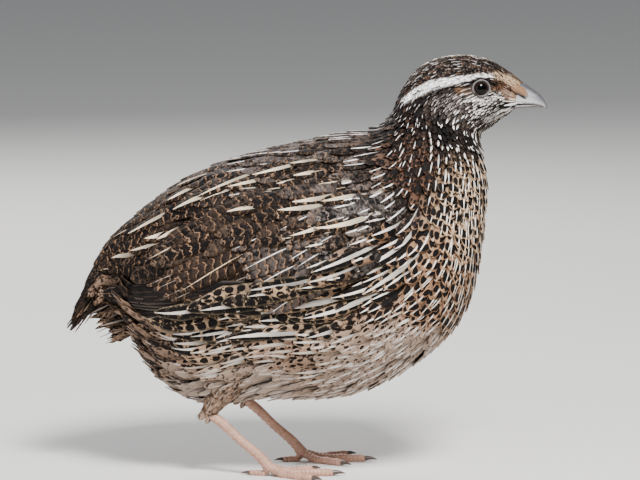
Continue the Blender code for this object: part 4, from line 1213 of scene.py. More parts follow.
def thigh_coat(side_name, draws):
    """Small feathers down the thigh to the hock."""
    knee, hock, _ = leg_points(side_name)
    length = np.linalg.norm(hock - knee)
    axis = unit(hock - knee)
    aside = np.array((0.0, 1.0, 0.0))
    ahead = np.cross(aside, axis)
    rows = np.arange(7.0, length - 1.0, THIGH_ROW)
    gone, turn = [], []
    for i, row in enumerate(rows):
        count = int(math.tau * np.interp(row, *THIGH_RADII) / 1.9)
        turn.append((np.arange(count) + 0.5 * (i % 2)) * math.tau / count + draws.normal(0, 0.06, count))
        gone.append(row + draws.normal(0, 0.25, count))
    gone, turn = np.concatenate(gone), np.concatenate(turn)
    count = len(gone)
    spoke = aside * np.cos(turn)[:, None] + ahead * np.sin(turn)[:, None]
    size = 6.5 * draws.uniform(0.85, 1.15, count)
    shares = np.array(FINE_RINGS)
    reach = gone[:, None] + size[:, None] * (shares - 0.3)
    out = np.interp(reach, *THIGH_RADII) + 0.15 + 0.7 * shares
    centre = knee + axis * reach[..., None] + spoke[:, None] * out[..., None]
    look = dressed(whole_look(THIGH_PLUMAGE, count), draws)
    spots = np.stack([turn / math.tau % 1.0, gone / length], axis=1) * (1 - 2 * PATCH)
    piece = feathers(
        f"thigh_feathers_{side_name}", centre, np.repeat(spoke[:, None], len(shares), axis=1),
        np.full(count, 1.5), size, look, spots, draws, pointed=0.4, fray=0.1,
    )
    return finished(piece, feather_keratin(), "body_feather")


# The wing's feathers in tiers, from the primaries outwards. A tier's feathers run from its first, the
# innermost and uppermost, to its last. Low and high are the lifts of root and tip off the body, and step is
# how much higher each feather lies than the next one out.
Tier = namedtuple(
    "Tier", "piece plumage count first_root first_tip last_root last_tip low high step bow pointed"
)
WING_PLUMAGES = {
    "primary": Plumage(
        {"slate": 1}, "ink", {"bark": 1}, {"bark": 1, "sand": 1},
        (0, 0, 0, 3.2), (0.12, 8, 1, 0, 4, 0.05, 0.1, 0.6, 0.1),
    ),
    "secondary": Plumage(
        {"umber": 2, "bark": 1}, "ink", "sand", "buff",
        (0, 0, 0, 4.2), (0.13, 9, 0.4, 0, 4, 1, 0.2, 0.1, 0.25),
    ),
    "tertial": Plumage(
        {"bark": 1, "umber": 1}, "ink", "cream", "buff",
        (0, 0, 0, 4.6), (0.16, 9, 0.5, 0, 4, 1, 0.25, 0.1, 0.3),
    ),
    "greater": Plumage(
        {"bark": 2, "ash": 1}, "ink", "white", "buff",
        (0, 0, 0, 3.6), (0.15, 9, 0.55, 0, 4, 1, 0.3, 0.05, 0.2),
    ),
    "median": Plumage(
        {"bark": 1, "ash": 1}, "ink", "white", "buff",
        (0, 0, 0, 3.2), (0.16, 8, 0.5, 0, 4, 0.95, 0.4, 0.05, 0.2),
    ),
    "lesser": Plumage(
        {"bark": 1, "ash": 2}, "ink", "white", "sand",
        (0, 0, 0, 2.8), (0.20, 7, 0.5, 0, 4, 0.7, 0.6, 0.05, 0.3),
    ),
}
WING_TIERS = [
    Tier("primaries", "primary", 8, (2, 66), (-66.5, 62.3), (2, 62), (-46, 50.5),
         0.6, 1.9, 0.3, 1.0, 0.55),
    Tier("secondaries", "secondary", 9, (8, 88), (-52, 68), (8, 70), (-31, 53.8),
         0.9, 2.6, 0.16, 2.5, 0.3),
    Tier("tertials", "tertial", 5, (14, 98), (-47, 77), (14, 90), (-39, 63.5),
         1.4, 3.5, 0.15, 2.5, 0.3),
    Tier("greater_coverts", "greater", 9, (18, 95), (-24, 80), (16, 71), (-11, 57),
         1.2, 3.2, 0.13, 1.5, 0.25),
    Tier("median_coverts", "median", 8, (22, 95), (-6, 84), (21, 75), (0, 63),
         1.6, 3.6, 0.13, 1.2, 0.25),
    Tier("lesser_coverts", "lesser", 8, (25, 94), (5, 86.5), (24, 77), (9, 66.5),
         1.7, 3.8, 0.13, 0.8, 0.3),
    Tier("marginal_coverts", "lesser", 8, (28.5, 92), (14, 87), (27.5, 79.5), (16.5, 70),
         1.4, 3.6, 0.13, 0.5, 0.3),
]
WING_FRONT, FRONT_SINK = (21.0, 29.0), 1.8  # the roots in this range of x sink under the breast's feathers


def whole_look(plumage, count):
    """The plumage's numbers and colours, repeated for each of a group's feathers."""
    numbers = zip(SIZES + MARKS, plumage.sizes + plumage.marks)
    made = {name: np.full(count, float(number)) for name, number in numbers}
    made["loose"] = np.ones(count)
    for name in COLOURS:
        made[name] = np.tile(mixed(getattr(plumage, name)), (count, 1))
    return made


def dressed(look, draws):
    """Gives each feather its own luck: whether it has a streak, and how wide."""
    count = len(look["streak"])
    look["streak"] = np.where(draws.random(count) < look["often"], look["streak"], 0.0)
    look["streak"] = look["streak"] * draws.uniform(0.75, 1.25, count) - 0.1 * (look["streak"] == 0)
    look["blotch"] = look["blotch"] * draws.uniform(0.2, 1.5, count)
    look["bars"] = look["bars"] * draws.uniform(0.3, 1.1, count)
    look["spots"] = look["spots"] * draws.uniform(0.85, 1.12, count)
    look["spots"] = np.where(look["spots"] < 0.15, -1.0, look["spots"])
    # how much painted shade darkens each feather towards its root
    look["root_shade"] = np.full(count, 0.55)
    return look


def tier_piece(tier, side_name, draws):
    """One tier of a folded wing."""
    side = SIDES[side_name]
    share = np.linspace(0, 1, tier.count)
    root = np.array(tier.first_root) + np.outer(share, np.subtract(tier.last_root, tier.first_root))
    tip = np.array(tier.first_tip) + np.outer(share, np.subtract(tier.last_tip, tier.first_tip))
    tip = tip + draws.uniform(-0.8, 0.8, tip.shape) * settings().ruffle
    way = tip - root
    length = np.linalg.norm(way, axis=1)
    upward = np.stack([way[:, 1], -way[:, 0]], axis=1) / length[:, None]
    shares = np.array(FINE_RINGS)
    places = root[:, None] + way[:, None] * shares[:, None]
    places = places + (tier.bow * np.sin(math.pi * shares))[:, None] * upward[:, None]
    along, turn = place_on_side(places.reshape(-1, 2))
    point, _, _, normal = surface(along, turn * side)
    lift = tier.low + (tier.high - tier.low) * shares**0.8
    lift = lift + (tier.step * (tier.count - 1) * (0.5 - share))[:, None]
    shape = (tier.count, len(shares), 3)
    within = smooth(inside(places.reshape(-1, 2), WING_OUTLINE), 0.0, 8.0).reshape(lift.shape)
    lift = lift * (0.55 + 0.45 * within)
    lift = lift - FRONT_SINK * smooth(places[..., 0], *WING_FRONT)
    centre = (point + normal * lift.reshape(-1, 1)).reshape(shape)
    plumage = WING_PLUMAGES[tier.plumage]
    look = dressed(whole_look(plumage, tier.count), draws)
    for name in ("ground", "bar"):
        look[name] = look[name] * draws.uniform(0.82, 1.15, (tier.count, 1))
    root_along, root_turn = along.reshape(shape[:2])[:, 0], turn.reshape(shape[:2])[:, 0] * side
    return feathers(
        f"{tier.piece}_{side_name}", centre, normal.reshape(shape), look["half_width"], length, look,
        unwrapped(root_along, root_turn), draws, pointed=tier.pointed, fray=0.025, camber=0.1, roll=0.05,
    )


def wing_arm(side_name):
    """The wing's arm: a low lens of dark down under the coverts. On the right it is wound inwards."""
    side = SIDES[side_name]
    upper, lower = even_spline(WING_UPPER_EDGE), even_spline(WING_LOWER_EDGE)
    rings = []
    for share in (1 - np.cos(np.linspace(0.1, 0.55, 24) * math.pi)) / 2:
        across = np.linspace(-0.85, 0.85, 12)
        half = (1 + across)[:, None] / 2
        places = upper(share) * (1 - half) + lower(share) * half
        along, turn = place_on_side(places)
        point, _, _, normal = surface(along, turn * side)
        swell = 1.1 * np.sqrt(np.clip(1 - across**2, 0, 1)) * (1 - share)
        swell = (0.3 + swell) * smooth(share, 0.02, 0.2) - 1.2 * smooth(share, 0.2, 0.02)
        rings.append(np.concatenate([point + normal * swell[:, None], (point - 2 * normal)[::-1]]))
    arm = loft_as_wound(f"wing_arm_{side_name}", np.array(rings))
    count = len(arm.data.vertices)
    put(arm, "ground", np.tile(mixed("umber"), (count, 1)))
    put(arm, "dark", np.tile(mixed("ink"), (count, 1)))
    return arm


class QUAIL_OT_wings(bpy.types.Operator):
    """The folded wings, tier by tier"""

    bl_idname = "quail.wings"
    bl_label = "Wings"

    def execute(self, context):
        for side_name in SIDES:
            node = f"wing_{side_name}"
            finished(wing_arm(side_name), skin_material(), "wing_feather", node)
            draws = np.random.default_rng([settings().seed, len(side_name)])
            for tier in WING_TIERS:
                finished(tier_piece(tier, side_name, draws), feather_keratin(), "wing_feather", node)
        return {"FINISHED"}


# The tail's feathers over its core, in fans: plumage, how many, root and tip as (x, z), how far roots and
# tips spread from the midline, half width, the way that they face, up or down under the tail, how far from
# its place a tip may lie, and how pointed it is.
Fan = namedtuple("Fan", "plumage count root tip root_spread tip_spread half_width faces strew pointed")
TAIL_FANS = [
    Fan("uppertail", 10, (-64.0, 64.5), (-80.4, 48.8), 4.0, 6.8, 2.2, 1, 0.5, 0.3),
    Fan("uppertail", 8, (-64.5, 67.5), (-78.4, 53.5), 4.4, 6.2, 2.3, 1, 0.5, 0.3),
    Fan("uppertail", 7, (-65.0, 70.5), (-75.5, 59.5), 4.0, 5.6, 2.2, 1, 0.5, 0.3),
    Fan("uppertail", 7, (-63.5, 59.5), (-79.0, 49.4), 4.6, 6.4, 2.3, -1, 0.5, 0.3),
    Fan("vent", 17, (-59.0, 57.5), (-71.8, 54.0), 5.5, 6.4, 1.35, -1, 2.6, 0.8),
    Fan("vent", 17, (-58.0, 55.0), (-70.6, 51.4), 6.0, 7.0, 1.35, -1, 2.9, 0.8),
    Fan("vent", 18, (-57.0, 52.5), (-68.9, 48.8), 6.6, 7.6, 1.35, -1, 2.9, 0.8),
    Fan("vent", 18, (-56.0, 50.0), (-67.2, 46.4), 7.2, 8.4, 1.35, -1, 2.9, 0.8),
    Fan("vent", 19, (-55.0, 47.0), (-65.4, 44.0), 8.0, 9.2, 1.35, -1, 2.9, 0.8),
]
FAN_STEP = 0.3  # from one feather down to the next
FAN_ROUND, FAN_TILT = 1.2, 0.8  # how much shorter the outer feathers are, and how far strewn ones face out


class QUAIL_OT_tail(bpy.types.Operator):
    """The short tail: its feathers in fans over and under one another"""

    bl_idname = "quail.tail"
    bl_label = "Tail"

    def execute(self, context):
        shares = np.array(FINE_RINGS)
        for i, fan in enumerate(TAIL_FANS):
            draws = np.random.default_rng([settings().seed, 50 + i])
            place = np.linspace(-1, 1, fan.count)
            drop = FAN_STEP * fan.count / 2 * np.abs(place) * fan.faces
            front, back = np.full(fan.count, fan.root[0]), fan.tip[0] + FAN_ROUND * np.abs(place)
            root = np.stack([front, fan.root_spread * place, fan.root[1] - drop], axis=1)
            tip = np.stack([back, fan.tip_spread * place, fan.tip[1] - drop / 2], axis=1)
            tip = tip + draws.uniform(-fan.strew, fan.strew, tip.shape)
            way = tip - root
            length = np.linalg.norm(way, axis=1)
            normal = unit(np.cross(way, (0.0, -1.0, 0.0)) * fan.faces)
            normal = unit(normal + np.outer(place * fan.strew, (0.0, FAN_TILT, 0.0)))
            arch = (0.05 if fan.faces > 0 else 0.01) * np.sin(math.pi * shares)
            centre = root[:, None] + way[:, None] * shares[:, None]
            centre = centre + normal[:, None] * (arch * length[:, None])[..., None]
            lines = np.repeat(normal[:, None], len(shares), axis=1)
            look = dressed(whole_look(PLUMAGES[fan.plumage], fan.count), draws)
            look["half_width"][:] = fan.half_width
            spots = np.stack([place * 0.4 + 0.5, np.full(fan.count, 0.5)], axis=1)
            piece = feathers(
                f"tail_fan_{i + 1}", centre, lines, look["half_width"], length, look, spots, draws,
                pointed=fan.pointed, fray=0.03 * LOOSE.get(fan.plumage, 1.0), camber=0.12,
            )
            finished(piece, feather_keratin(), "tail_feather", "tail")
        return {"FINISHED"}


def eye_frame(side):
    """The middle of one eyeball, the way that the eye looks, and two directions square to it."""
    x, y, z = EYE_AT
    flat = math.cos(EYE_UP)
    look = np.array((flat * math.sin(EYE_FORWARD), side * flat * math.cos(EYE_FORWARD), math.sin(EYE_UP)))
    forward = unit(np.cross((0.0, 0.0, 1.0), look))
    forward *= np.sign(forward[0])
    return np.array([x, side * y, z]), look, forward, np.cross(forward, look) * -side


def turned(name, middle, look, forward, up, angles, radii, around):
    """A surface round the look's axis: rings at angles from it and distances from the middle."""
    turn = np.linspace(0, math.tau, around, endpoint=False)
    spoke = forward * np.cos(turn)[:, None] + up * np.sin(turn)[:, None]
    angles, radii = np.broadcast_arrays(angles, radii)
    points = look * (radii * np.cos(angles))[..., None] + spoke * (radii * np.sin(angles))[..., None]
    return faced_outwards(loft_as_wound(name, points + middle))


PUPIL, IRIS = 1.6, 2.65  # radii, from the axis of the eye
EYE_INSET = 0.12  # of the eyeball inside its solid
CORNEA_EDGE, CORNEA_BULGE = 42, 0.28  # degrees from the axis, and its height
# The lids' profile: degrees from the eye's axis and distance from its middle, from the rim outwards.
LID_PROFILE = [
    (42, 2.9), (44.5, 3.3), (46, 3.58), (48, 3.78), (51, 3.85), (55, 3.8), (60, 3.7), (66, 3.55), (73, 3.3),
    (82, 3.0), (92, 2.6),
]


def eye_material():
    """A living eye: a clear wet cornea over a dark brown iris and a black pupil, with a sharp highlight."""
    shader = {"Roughness": 0.04, "Specular IOR Level": 0.16}
    material, tree = new_material("wet_cornea_over_iris", shader)
    if tree is None:
        return material
    gaze = add(tree, "Attribute", attribute_name="gaze").outputs["Vector"]
    off, turn, _ = add(tree, "SeparateXYZ", gaze).outputs
    colours = bpy.context.scene.quail_colours
    iris, ink = (*colours.iris, 1.0), (*mixed("ink") * 0.15, 1.0)
    fibres = add(tree, "Math", turn, 60.0, operation="MULTIPLY")
    fibres = add(tree, "Math", fibres, operation="SINE")
    fibres = add(tree, "Math", fibres, 0.12, 1.0, operation="MULTIPLY_ADD")
    brown = add(tree, "VectorMath", iris[:3], fibres, operation="SCALE")
    rim = add(tree, "MapRange", off, IRIS - 0.35, IRIS)
    black = add(tree, "MapRange", off, PUPIL + 0.08, PUPIL - 0.08)
    black = add(tree, "Math", rim, black, operation="MAXIMUM")
    colour = add(tree, "Mix", black, brown, ink, data_type="RGBA")
    return shaded(material, colour)


def lid_material():
    """Eyelids: bare, finely wrinkled grey skin, edged with brown inside and outside the grey ring."""
    shader = {"Roughness": 0.5, "Subsurface Weight": 0.1, "Subsurface Scale": 0.3 * MM}
    material, tree = new_material("eyelid_skin", shader)
    if tree is None:
        return material
    colours = bpy.context.scene.quail_colours
    gaze = add(tree, "Attribute", attribute_name="gaze").outputs["Vector"]
    off, _, _ = add(tree, "SeparateXYZ", gaze).outputs
    place = add(tree, "TexCoord").outputs["Object"]
    grain = add(tree, "TexNoise", Vector=place, Scale=1 / (0.35 * MM), Detail=3.0)
    inner = add(tree, "MapRange", off, 2.78, 2.64, interpolation_type="SMOOTHSTEP")
    outer = add(tree, "MapRange", off, 3.0, 3.2, interpolation_type="SMOOTHSTEP")
    fade = add(tree, "Math", inner, outer, operation="MAXIMUM")
    grey, brown = (*colours.lid, 1.0), (*mixed("umber"), 1.0)
    colour = add(tree, "Mix", fade, grey, brown, data_type="RGBA")
    tone = add(tree, "Math", grain.outputs[0], 0.5, 0.72, operation="MULTIPLY_ADD")
    colour = add(tree, "VectorMath", colour, tone, operation="SCALE")
    bump = add(tree, "Bump", Height=grain.outputs[0], Strength=0.4, Distance=0.00008)
    return shaded(material, colour, bump)


class QUAIL_OT_eyes(bpy.types.Operator):
    """The eyeballs and the lids round them"""

    bl_idname = "quail.eyes"
    bl_label = "Eyes"

    def execute(self, context):
        for side_name, side in SIDES.items():
            middle, look, forward, up = eye_frame(side)
            around = 64
            turn = np.linspace(0, math.tau, around, endpoint=False)
            angles = np.radians(np.linspace(1.0, 179.0, 60))[:, None] + 0 * turn
            bulge = CORNEA_BULGE * np.sqrt(np.clip(1 - (np.degrees(angles) / CORNEA_EDGE) ** 2, 0, 1))
            radii = EYEBALL_RADIUS - EYE_INSET + bulge
            eye = turned(f"eyeball_{side_name}", middle, look, forward, up, angles, radii, around)
            put(eye, "gaze", gaze_of(angles, radii, turn))
            finished(eye, eye_material(), "eye", f"eye_{side_name}")

            angles, radii = even_spline(LID_PROFILE)(np.linspace(0, 1, 40)).T
            angles = angles[:, None] + 2.6 * np.cos(2 * turn) * np.exp(-((angles[:, None] - 46) / 12) ** 2)
            wrinkles = 0.03 * np.sin(26 * turn) * np.exp(-((angles - 53) / 4) ** 2)
            radii = radii[:, None] + (0.035 * np.sin(angles / 2.2) + wrinkles)
            angles = np.radians(angles)
            lids = turned(f"eyelids_{side_name}", middle, look, forward, up, angles, radii, around)
            put(lids, "gaze", gaze_of(angles, radii, turn))
            finished(lids, lid_material(), "head_feather")
        return {"FINISHED"}


def gaze_of(angles, radii, turn):
    """Distance from the eye's axis and turn round it, at each point of a turned surface."""
    off = radii * np.sin(angles)
    return np.stack([off, np.broadcast_to(turn, off.shape), 0 * off], axis=-1).reshape(-1, 3)


# The bill's two halves, as in the solids but with a finer point: ridge, mouth line and half width of the
# upper half, then mouth line, chin ridge and half width of the lower one.
UPPER_BILL = [
    Section((71.66, 131.2), (70.32, 123.8), 3.5),
    Section((73.6, 130.0), (72.6, 123.8), 3.1),
    Section((75.8, 128.5), (75.0, 123.8), 2.5),
    Section((77.8, 126.9), (77.0, 123.6), 1.9),
    Section((79.3, 125.0), (78.7, 123.2), 1.2),
    Section((80.15, 123.4), (79.65, 122.55), 0.65),
    Section((80.4, 122.55), (80.3, 122.25), 0.15),
]
LOWER_BILL = [
    Section((70.26, 123.45), (69.96, 121.9), 2.7),
    Section((73.2, 123.45), (73.0, 122.2), 2.3),
    Section((75.9, 123.4), (75.8, 122.4), 1.7),
    Section((78.0, 123.0), (77.9, 122.4), 1.0),
    Section((79.1, 122.65), (79.0, 122.45), 0.35),
]
# In the side view: the flap of skin over the nostril, the slit under it, an ink fold that is painted shade
# in the nostril's opening, and the horn's pale edge, which runs on along the mouth to the gape.
FLAP, FLAP_WIDTH = [(68.2, 129.3), (70.2, 128.8), (72.1, 127.8), (73.8, 126.4)], (0.8, 1.4, 1.3, 0.55)
SLIT, SLIT_WIDTH = [(68.8, 128.1), (70.6, 127.2), (72.2, 126.2), (73.4, 125.5)], (0.15, 0.3, 0.28, 0.1)
GAPE, GAPE_WIDTH = [(65.8, 123.5), (67.8, 123.7), (70.0, 123.9), (72.4, 124.1)], (0.12, 0.38, 0.45, 0.2)
FOLD_BRIDGE = 4  # how many steps along its line a fold bridges, as where the bill meets the skin


def bill_half(name, sections, flat_side, count=60, around=48):
    """One half of the bill."""
    spline = even_spline([[*s.back, *s.belly, s.half_width] for s in sections])
    turn = np.linspace(0, math.tau, around, endpoint=False)
    up = np.cos(turn)
    up = np.sign(up) * np.abs(up) ** np.where(up * flat_side > 0, 0.22, 1.0)
    shares = np.concatenate([[-0.06, -0.03], np.linspace(0, 1, count)])
    numbers = spline(shares)
    numbers += (spline(0.02) - spline(0.0)) / 0.02 * np.minimum(shares, 0)[:, None]
    top, low, half_width = numbers[:, None, 0:2], numbers[:, None, 2:4], numbers[:, 4, None]
    flat = (top + low) / 2 + (top - low) / 2 * up[:, None]
    out = half_width * np.sin(turn)
    made = lofted(name, np.stack([flat[..., 0], out, flat[..., 1]], axis=-1))
    rings = len(shares)

    # Grey horn, darker along its ridge, with a painted sheen low on its flank near the base, paler along its
    # cutting edge, and brown at its tip.
    height = (up[None, :] * np.ones((rings, 1))).ravel() * -flat_side
    forward = shares.repeat(around)
    # The lower half's horn is mixed with much bark: painted shade, as it lies under the upper half.
    upper = 1.0 if flat_side < 0 else 0.1
    colour = np.tile(mixed({"horn": 1, "bark": 3 - 3 * upper}), (rings * around, 1))
    colour = colour * (1 - 0.6 * smooth(height, 0.1, 0.75))[:, None]
    # painted sheen: whiter on the flank near the base
    painted_sheen = 0.15 * upper * smooth(forward, 0.6, 0.2) * smooth(height, 0.8, 0.3)
    edge = 0.6 * upper * smooth(height, -0.4, -0.85) * smooth(forward, 1.0, 0.8)
    tip = 0.9 * smooth(forward, 0.72, 0.95)
    covers = ("white", painted_sheen), ({"sand": 1, "white": 3}, edge), ({"bark": 3, "rufous": 1}, tip)
    for pigments, cover in covers:
        colour = colour + (mixed(pigments) - colour) * cover[:, None]
    put(made, "ground", colour)
    return made


def side_fold(name, side, line, widths, bulge, carriers, wrinkle=0.0):
    """A closed fold of skin along a line of the side view, lying on the pieces that carry it. It sinks
    under the feathers at the line's start."""
    shares = np.linspace(0, 1, 40)
    middle = even_spline(line)(shares)
    way = unit(np.gradient(middle, axis=0))
    upward = np.stack([way[:, 1], -way[:, 0]], axis=1) * np.sign(way[:, :1]) * -1
    half = np.interp(shares, np.linspace(0, 1, len(widths)), widths)
    half = half * np.sqrt(np.clip(1 - (2 * shares - 1) ** 8, 0.02, 1))
    across = np.linspace(-1, 1, 15)
    flat = middle[:, None] + upward[:, None] * (half[:, None] * across)[..., None]
    out = np.array([[side_reach(x, z, side, carriers) for x, z in row] for row in flat])
    wide = np.pad(out, ((FOLD_BRIDGE, FOLD_BRIDGE), (0, 0)), mode="edge")
    out = np.max([wide[i : i + len(out)] for i in range(2 * FOLD_BRIDGE + 1)], axis=0)
    for _ in range(12):
        out[1:-1] = (out[:-2] + 2 * out[1:-1] + out[2:]) / 4
    swell = bulge * np.sqrt(np.clip(1 - across**2, 0, 1)) * np.sqrt(half / half.max())[:, None]
    swell = swell * smooth(shares, -0.2, 0.5)[:, None]
    swell = swell * (1 + wrinkle * np.sin(16 * across + 3 * np.sin(18 * shares[:, None])))
    front = np.stack([flat[..., 0], side * (out + swell), flat[..., 1]], axis=-1)
    back = np.stack([flat[..., 0], side * (out - 0.9), flat[..., 1]], axis=-1)[:, ::-1]
    rings = np.concatenate([front, back], axis=1)
    made = lofted(name, rings)
    return made, np.tile(np.concatenate([across, across[::-1]]), len(rings)), shares.repeat(rings.shape[1])


def side_reach(x, z, side, carriers):
    """How far from the midline the carriers reach at a place of the side view."""
    best = 0.5
    for piece, cover in carriers:
        start = Vector((x, side * 40.0, z)) * MM
        hit, spot, _, _ = piece.ray_cast(start, Vector((0, -side, 0)))
        if hit:
            best = max(best, abs(spot.y) / MM + cover)
    return best


def horn_material():
    """Bill horn: keratin laid down in smooth layers, so it is satin with faint lines of growth."""
    material, tree = new_material("bill_keratin", {"Roughness": 0.38, "Specular IOR Level": 0.5})
    if tree is None:
        return material
    ground = add(tree, "Attribute", attribute_name="ground").outputs["Color"]
    place = add(tree, "TexCoord").outputs["Object"]
    stretched = add(tree, "VectorMath", place, (0.35, 1.0, 1.4), operation="MULTIPLY")
    grain = add(tree, "TexNoise", Vector=stretched, Scale=1 / (0.5 * MM), Detail=4.0)
    tone = add(tree, "Math", grain.outputs[0], 0.7, 0.65, operation="MULTIPLY_ADD")
    colour = add(tree, "VectorMath", ground, tone, operation="SCALE")
    bump = add(tree, "Bump", Height=grain.outputs[0], Strength=0.25, Distance=0.00008)
    return shaded(material, colour, bump)


class QUAIL_OT_bill(bpy.types.Operator):
    """The two halves of the bill"""

    bl_idname = "quail.bill"
    bl_label = "Bill"

    def execute(self, context):
        upper = bill_half("upper_mandible", UPPER_BILL, -1)
        finished(upper, horn_material(), "bill_horn", "bill_upper")
        lower = bill_half("lower_mandible", LOWER_BILL, 1, 40, 36)
        finished(lower, horn_material(), "bill_horn", "bill_lower")
        context.view_layer.update()
        carriers = [(upper, 0.0), (bpy.data.objects["skin"], settings().face_depth / MM)]
        for side_name, side in SIDES.items():
            name = f"nostril_flap_{side_name}"
            flap, across, along = side_fold(name, side, FLAP, FLAP_WIDTH, 0.65, carriers, 0.05)
            tone = 0.5 + 0.5 * smooth(across, -1.0, 0.2) - 0.15 * smooth(along, 0.3, 0.0)
            streaky = 1 + 0.2 * np.sin(16 * across + 3 * np.sin(18 * along))
            colour = mixed("operculum") * (tone * streaky)[:, None]
            colour += (mixed({"horn": 2, "sand": 1}) - colour) * (0.7 * smooth(along, 0.7, 1.0))[:, None]
            put(flap, "ground", colour)
            # an ink fold: painted shade in the opening under the flap
            slit, _, _ = side_fold(f"nostril_slit_shade_{side_name}", side, SLIT, SLIT_WIDTH, 0.2, carriers)
            put(slit, "ground", np.tile(mixed("ink"), (len(slit.data.vertices), 1)))
            gape, across, _ = side_fold(f"gape_{side_name}", side, GAPE, GAPE_WIDTH, 0.22, carriers)
            pale = mixed({"horn": 1, "white": 2})
            # darker along its lower side: painted shade in the mouth line
            put(gape, "ground", pale * (0.15 + 0.85 * smooth(across, -0.95, -0.45))[:, None])
            for piece in (flap, slit, gape):
                finished(piece, horn_material(), "bill_horn")
        return {"FINISHED"}


# Each toe's heading from straight ahead towards the midline, in degrees, and its length and radius.
Toe = namedtuple("Toe", "name heading length radius")
TOES = [
    Toe("inner", 33.0, 16.0, 1.3),
    Toe("middle", 2.0, 21.0, 1.4),
    Toe("outer", -31.0, 17.0, 1.3),
    Toe("hind", 168.0, 7.0, 1.05),
]
CLAW_LENGTH = 4.2  # of the middle toe's claw
CLAW_ARCH, CLAW_DROP = 0.35, 0.25  # of every claw's middle line
CLAW_ROOT, CLAW_TAPER = 0.68, 0.9  # a claw's radius at its root, of its toe's, and how much it narrows
SOLE_CUT = 0.35  # of each toe's thickness, under the floor
SHANK_TOP = 4.0  # how far above the hock the leg starts, inside the thigh
SHANK_RADII = (1.7, 1.95, 1.6, 1.42, 1.6, 1.95)  # from above the hock down into the foot
TOE_SHARES = (0.0, 0.2, 0.34, 0.5, 0.62, 0.78, 0.9, 1.0)
TOE_PADS = (1.1, 1.0, 1.1, 0.92, 1.08, 0.9, 1.0, 0.74)  # thickness there, of the toe's radius
LEG_STEP, LEG_VOXEL = 0.14, 0.16  # between the rings of a leg, and the grain that fuses it
SHANK_SCUTE, TOE_SCUTE = 2.0, 1.35  # the plates' length


def plates(pitch, height, front, back):
    """Relief of overlapping plates on the front of a leg, and of small round scales on its back."""

    def relief(gone, turn):
        facing = smooth(np.cos(turn - front), -0.1, 0.35)
        plate = height * (1 - (gone / pitch) % 1.0) ** 1.5
        scales = back * np.sin(gone * math.tau / 0.9) * np.sin(turn * 7)
        return plate * facing + scales * (1 - facing)

    return relief


def resampled(path, numbers, spacing):
    """Points and numbers at even spacing along a smooth line through the path's points."""
    path = np.asarray(path, float)
    knots = lengths_along(path)
    at = np.linspace(0, knots[-1], max(int(knots[-1] / spacing), 4))
    return natural_spline(knots, path)(at), np.interp(at, knots, numbers)


def toe_way(toe, name):
    heading = math.radians(toe.heading) * -SIDES[name]
    return np.array([math.cos(heading), math.sin(heading), 0.0])


def leg_material():
    """Leg skin: horny flesh-coloured scales, satin, with painted shade in the grooves between them."""
    shader = {"Roughness": 0.48, "Subsurface Weight": 0.08, "Subsurface Scale": 0.5 * MM}
    material, tree = new_material("scaled_leg_skin", shader)
    if tree is None:
        return material
    colours = bpy.context.scene.quail_colours
    place = add(tree, "TexCoord").outputs["Object"]
    cells = add(tree, "TexVoronoi", Vector=place, Scale=1 / (0.75 * MM), feature="DISTANCE_TO_EDGE")
    # painted shade: darker in the grooves between the scales
    groove_relief_and_shade = add(tree, "MapRange", cells.outputs[0], 0.0, 0.12, 0.75, 1.0)
    blotch = add(tree, "TexNoise", Vector=place, Scale=1 / (2.5 * MM), Detail=4.0)
    tone = add(tree, "Math", blotch.outputs[0], 0.7, 0.62, operation="MULTIPLY_ADD")
    tone = add(tree, "Math", tone, groove_relief_and_shade, operation="MULTIPLY")
    colour = add(tree, "VectorMath", tuple(colours.leg), tone, operation="SCALE")
    bump = add(tree, "Bump", Height=groove_relief_and_shade, Strength=0.35, Distance=0.0001)
    return shaded(material, colour, bump)


def claw_material():
    """Claw horn: brown keratin, smooth, with a faint grain."""
    material, tree = new_material("claw_keratin", {"Roughness": 0.35, "Specular IOR Level": 0.5})
    if tree is None:
        return material
    colours = bpy.context.scene.quail_colours
    place = add(tree, "TexCoord").outputs["Object"]
    grain = add(tree, "TexNoise", Vector=place, Scale=1 / (0.6 * MM), Detail=3.0)
    tone = add(tree, "Math", grain.outputs[0], 0.8, 0.6, operation="MULTIPLY_ADD")
    colour = add(tree, "VectorMath", tuple(colours.claw), tone, operation="SCALE")
    return shaded(material, colour)


def leg_mesh(name):
    """Shank, foot and toes of one leg, grown together."""
    knee, hock, foot = leg_points(name)
    top = hock + (knee - hock) * (SHANK_TOP / np.linalg.norm(knee - hock))
    below_hock, above_foot = hock + (foot - hock) * 0.1, foot + (hock - foot) * 0.12
    path = [top, hock, below_hock, (hock + foot) / 2, above_foot, foot - (0, 0, 0.9)]
    line, radii = resampled(path, SHANK_RADII, LEG_STEP)
    pieces = [tube("shank", line, radii, 40, plates(SHANK_SCUTE, 0.36, 0.0, 0.07))]
    for toe in TOES:
        way = toe_way(toe, name)
        floor = toe.radius - SOLE_CUT
        shares = np.array(TOE_SHARES)
        height = np.maximum(floor, (foot[2] - 0.6) * (1 - shares * 3) + floor * shares * 3)
        path = foot * (1, 1, 0) + way * toe.length * shares[:, None] + np.outer(height, (0, 0, 1))
        line, radii = resampled(path, toe.radius * np.array(TOE_PADS), LEG_STEP)
        pieces.append(tube("toe", line, radii, 36, plates(TOE_SCUTE, 0.27, math.pi / 2, 0.07)))
    leg = pieces[0]
    with bpy.context.temp_override(active_object=leg, selected_editable_objects=pieces):
        bpy.ops.object.join()
    fuse = leg.modifiers.new("fuse", "REMESH")
    fuse.mode = "VOXEL"
    fuse.voxel_size = LEG_VOXEL * MM
    even = leg.modifiers.new("even", "SMOOTH")
    even.iterations = 2
    set_modifiers(leg)
    points = points_of(leg.data)
    points[:, 2] = np.maximum(points[:, 2], 0.0)
    leg.data.vertices.foreach_set("co", points.ravel())
    leg.name = leg.data.name = f"scaled_leg_{name}"
    leg.data.shade_smooth()
    return leg


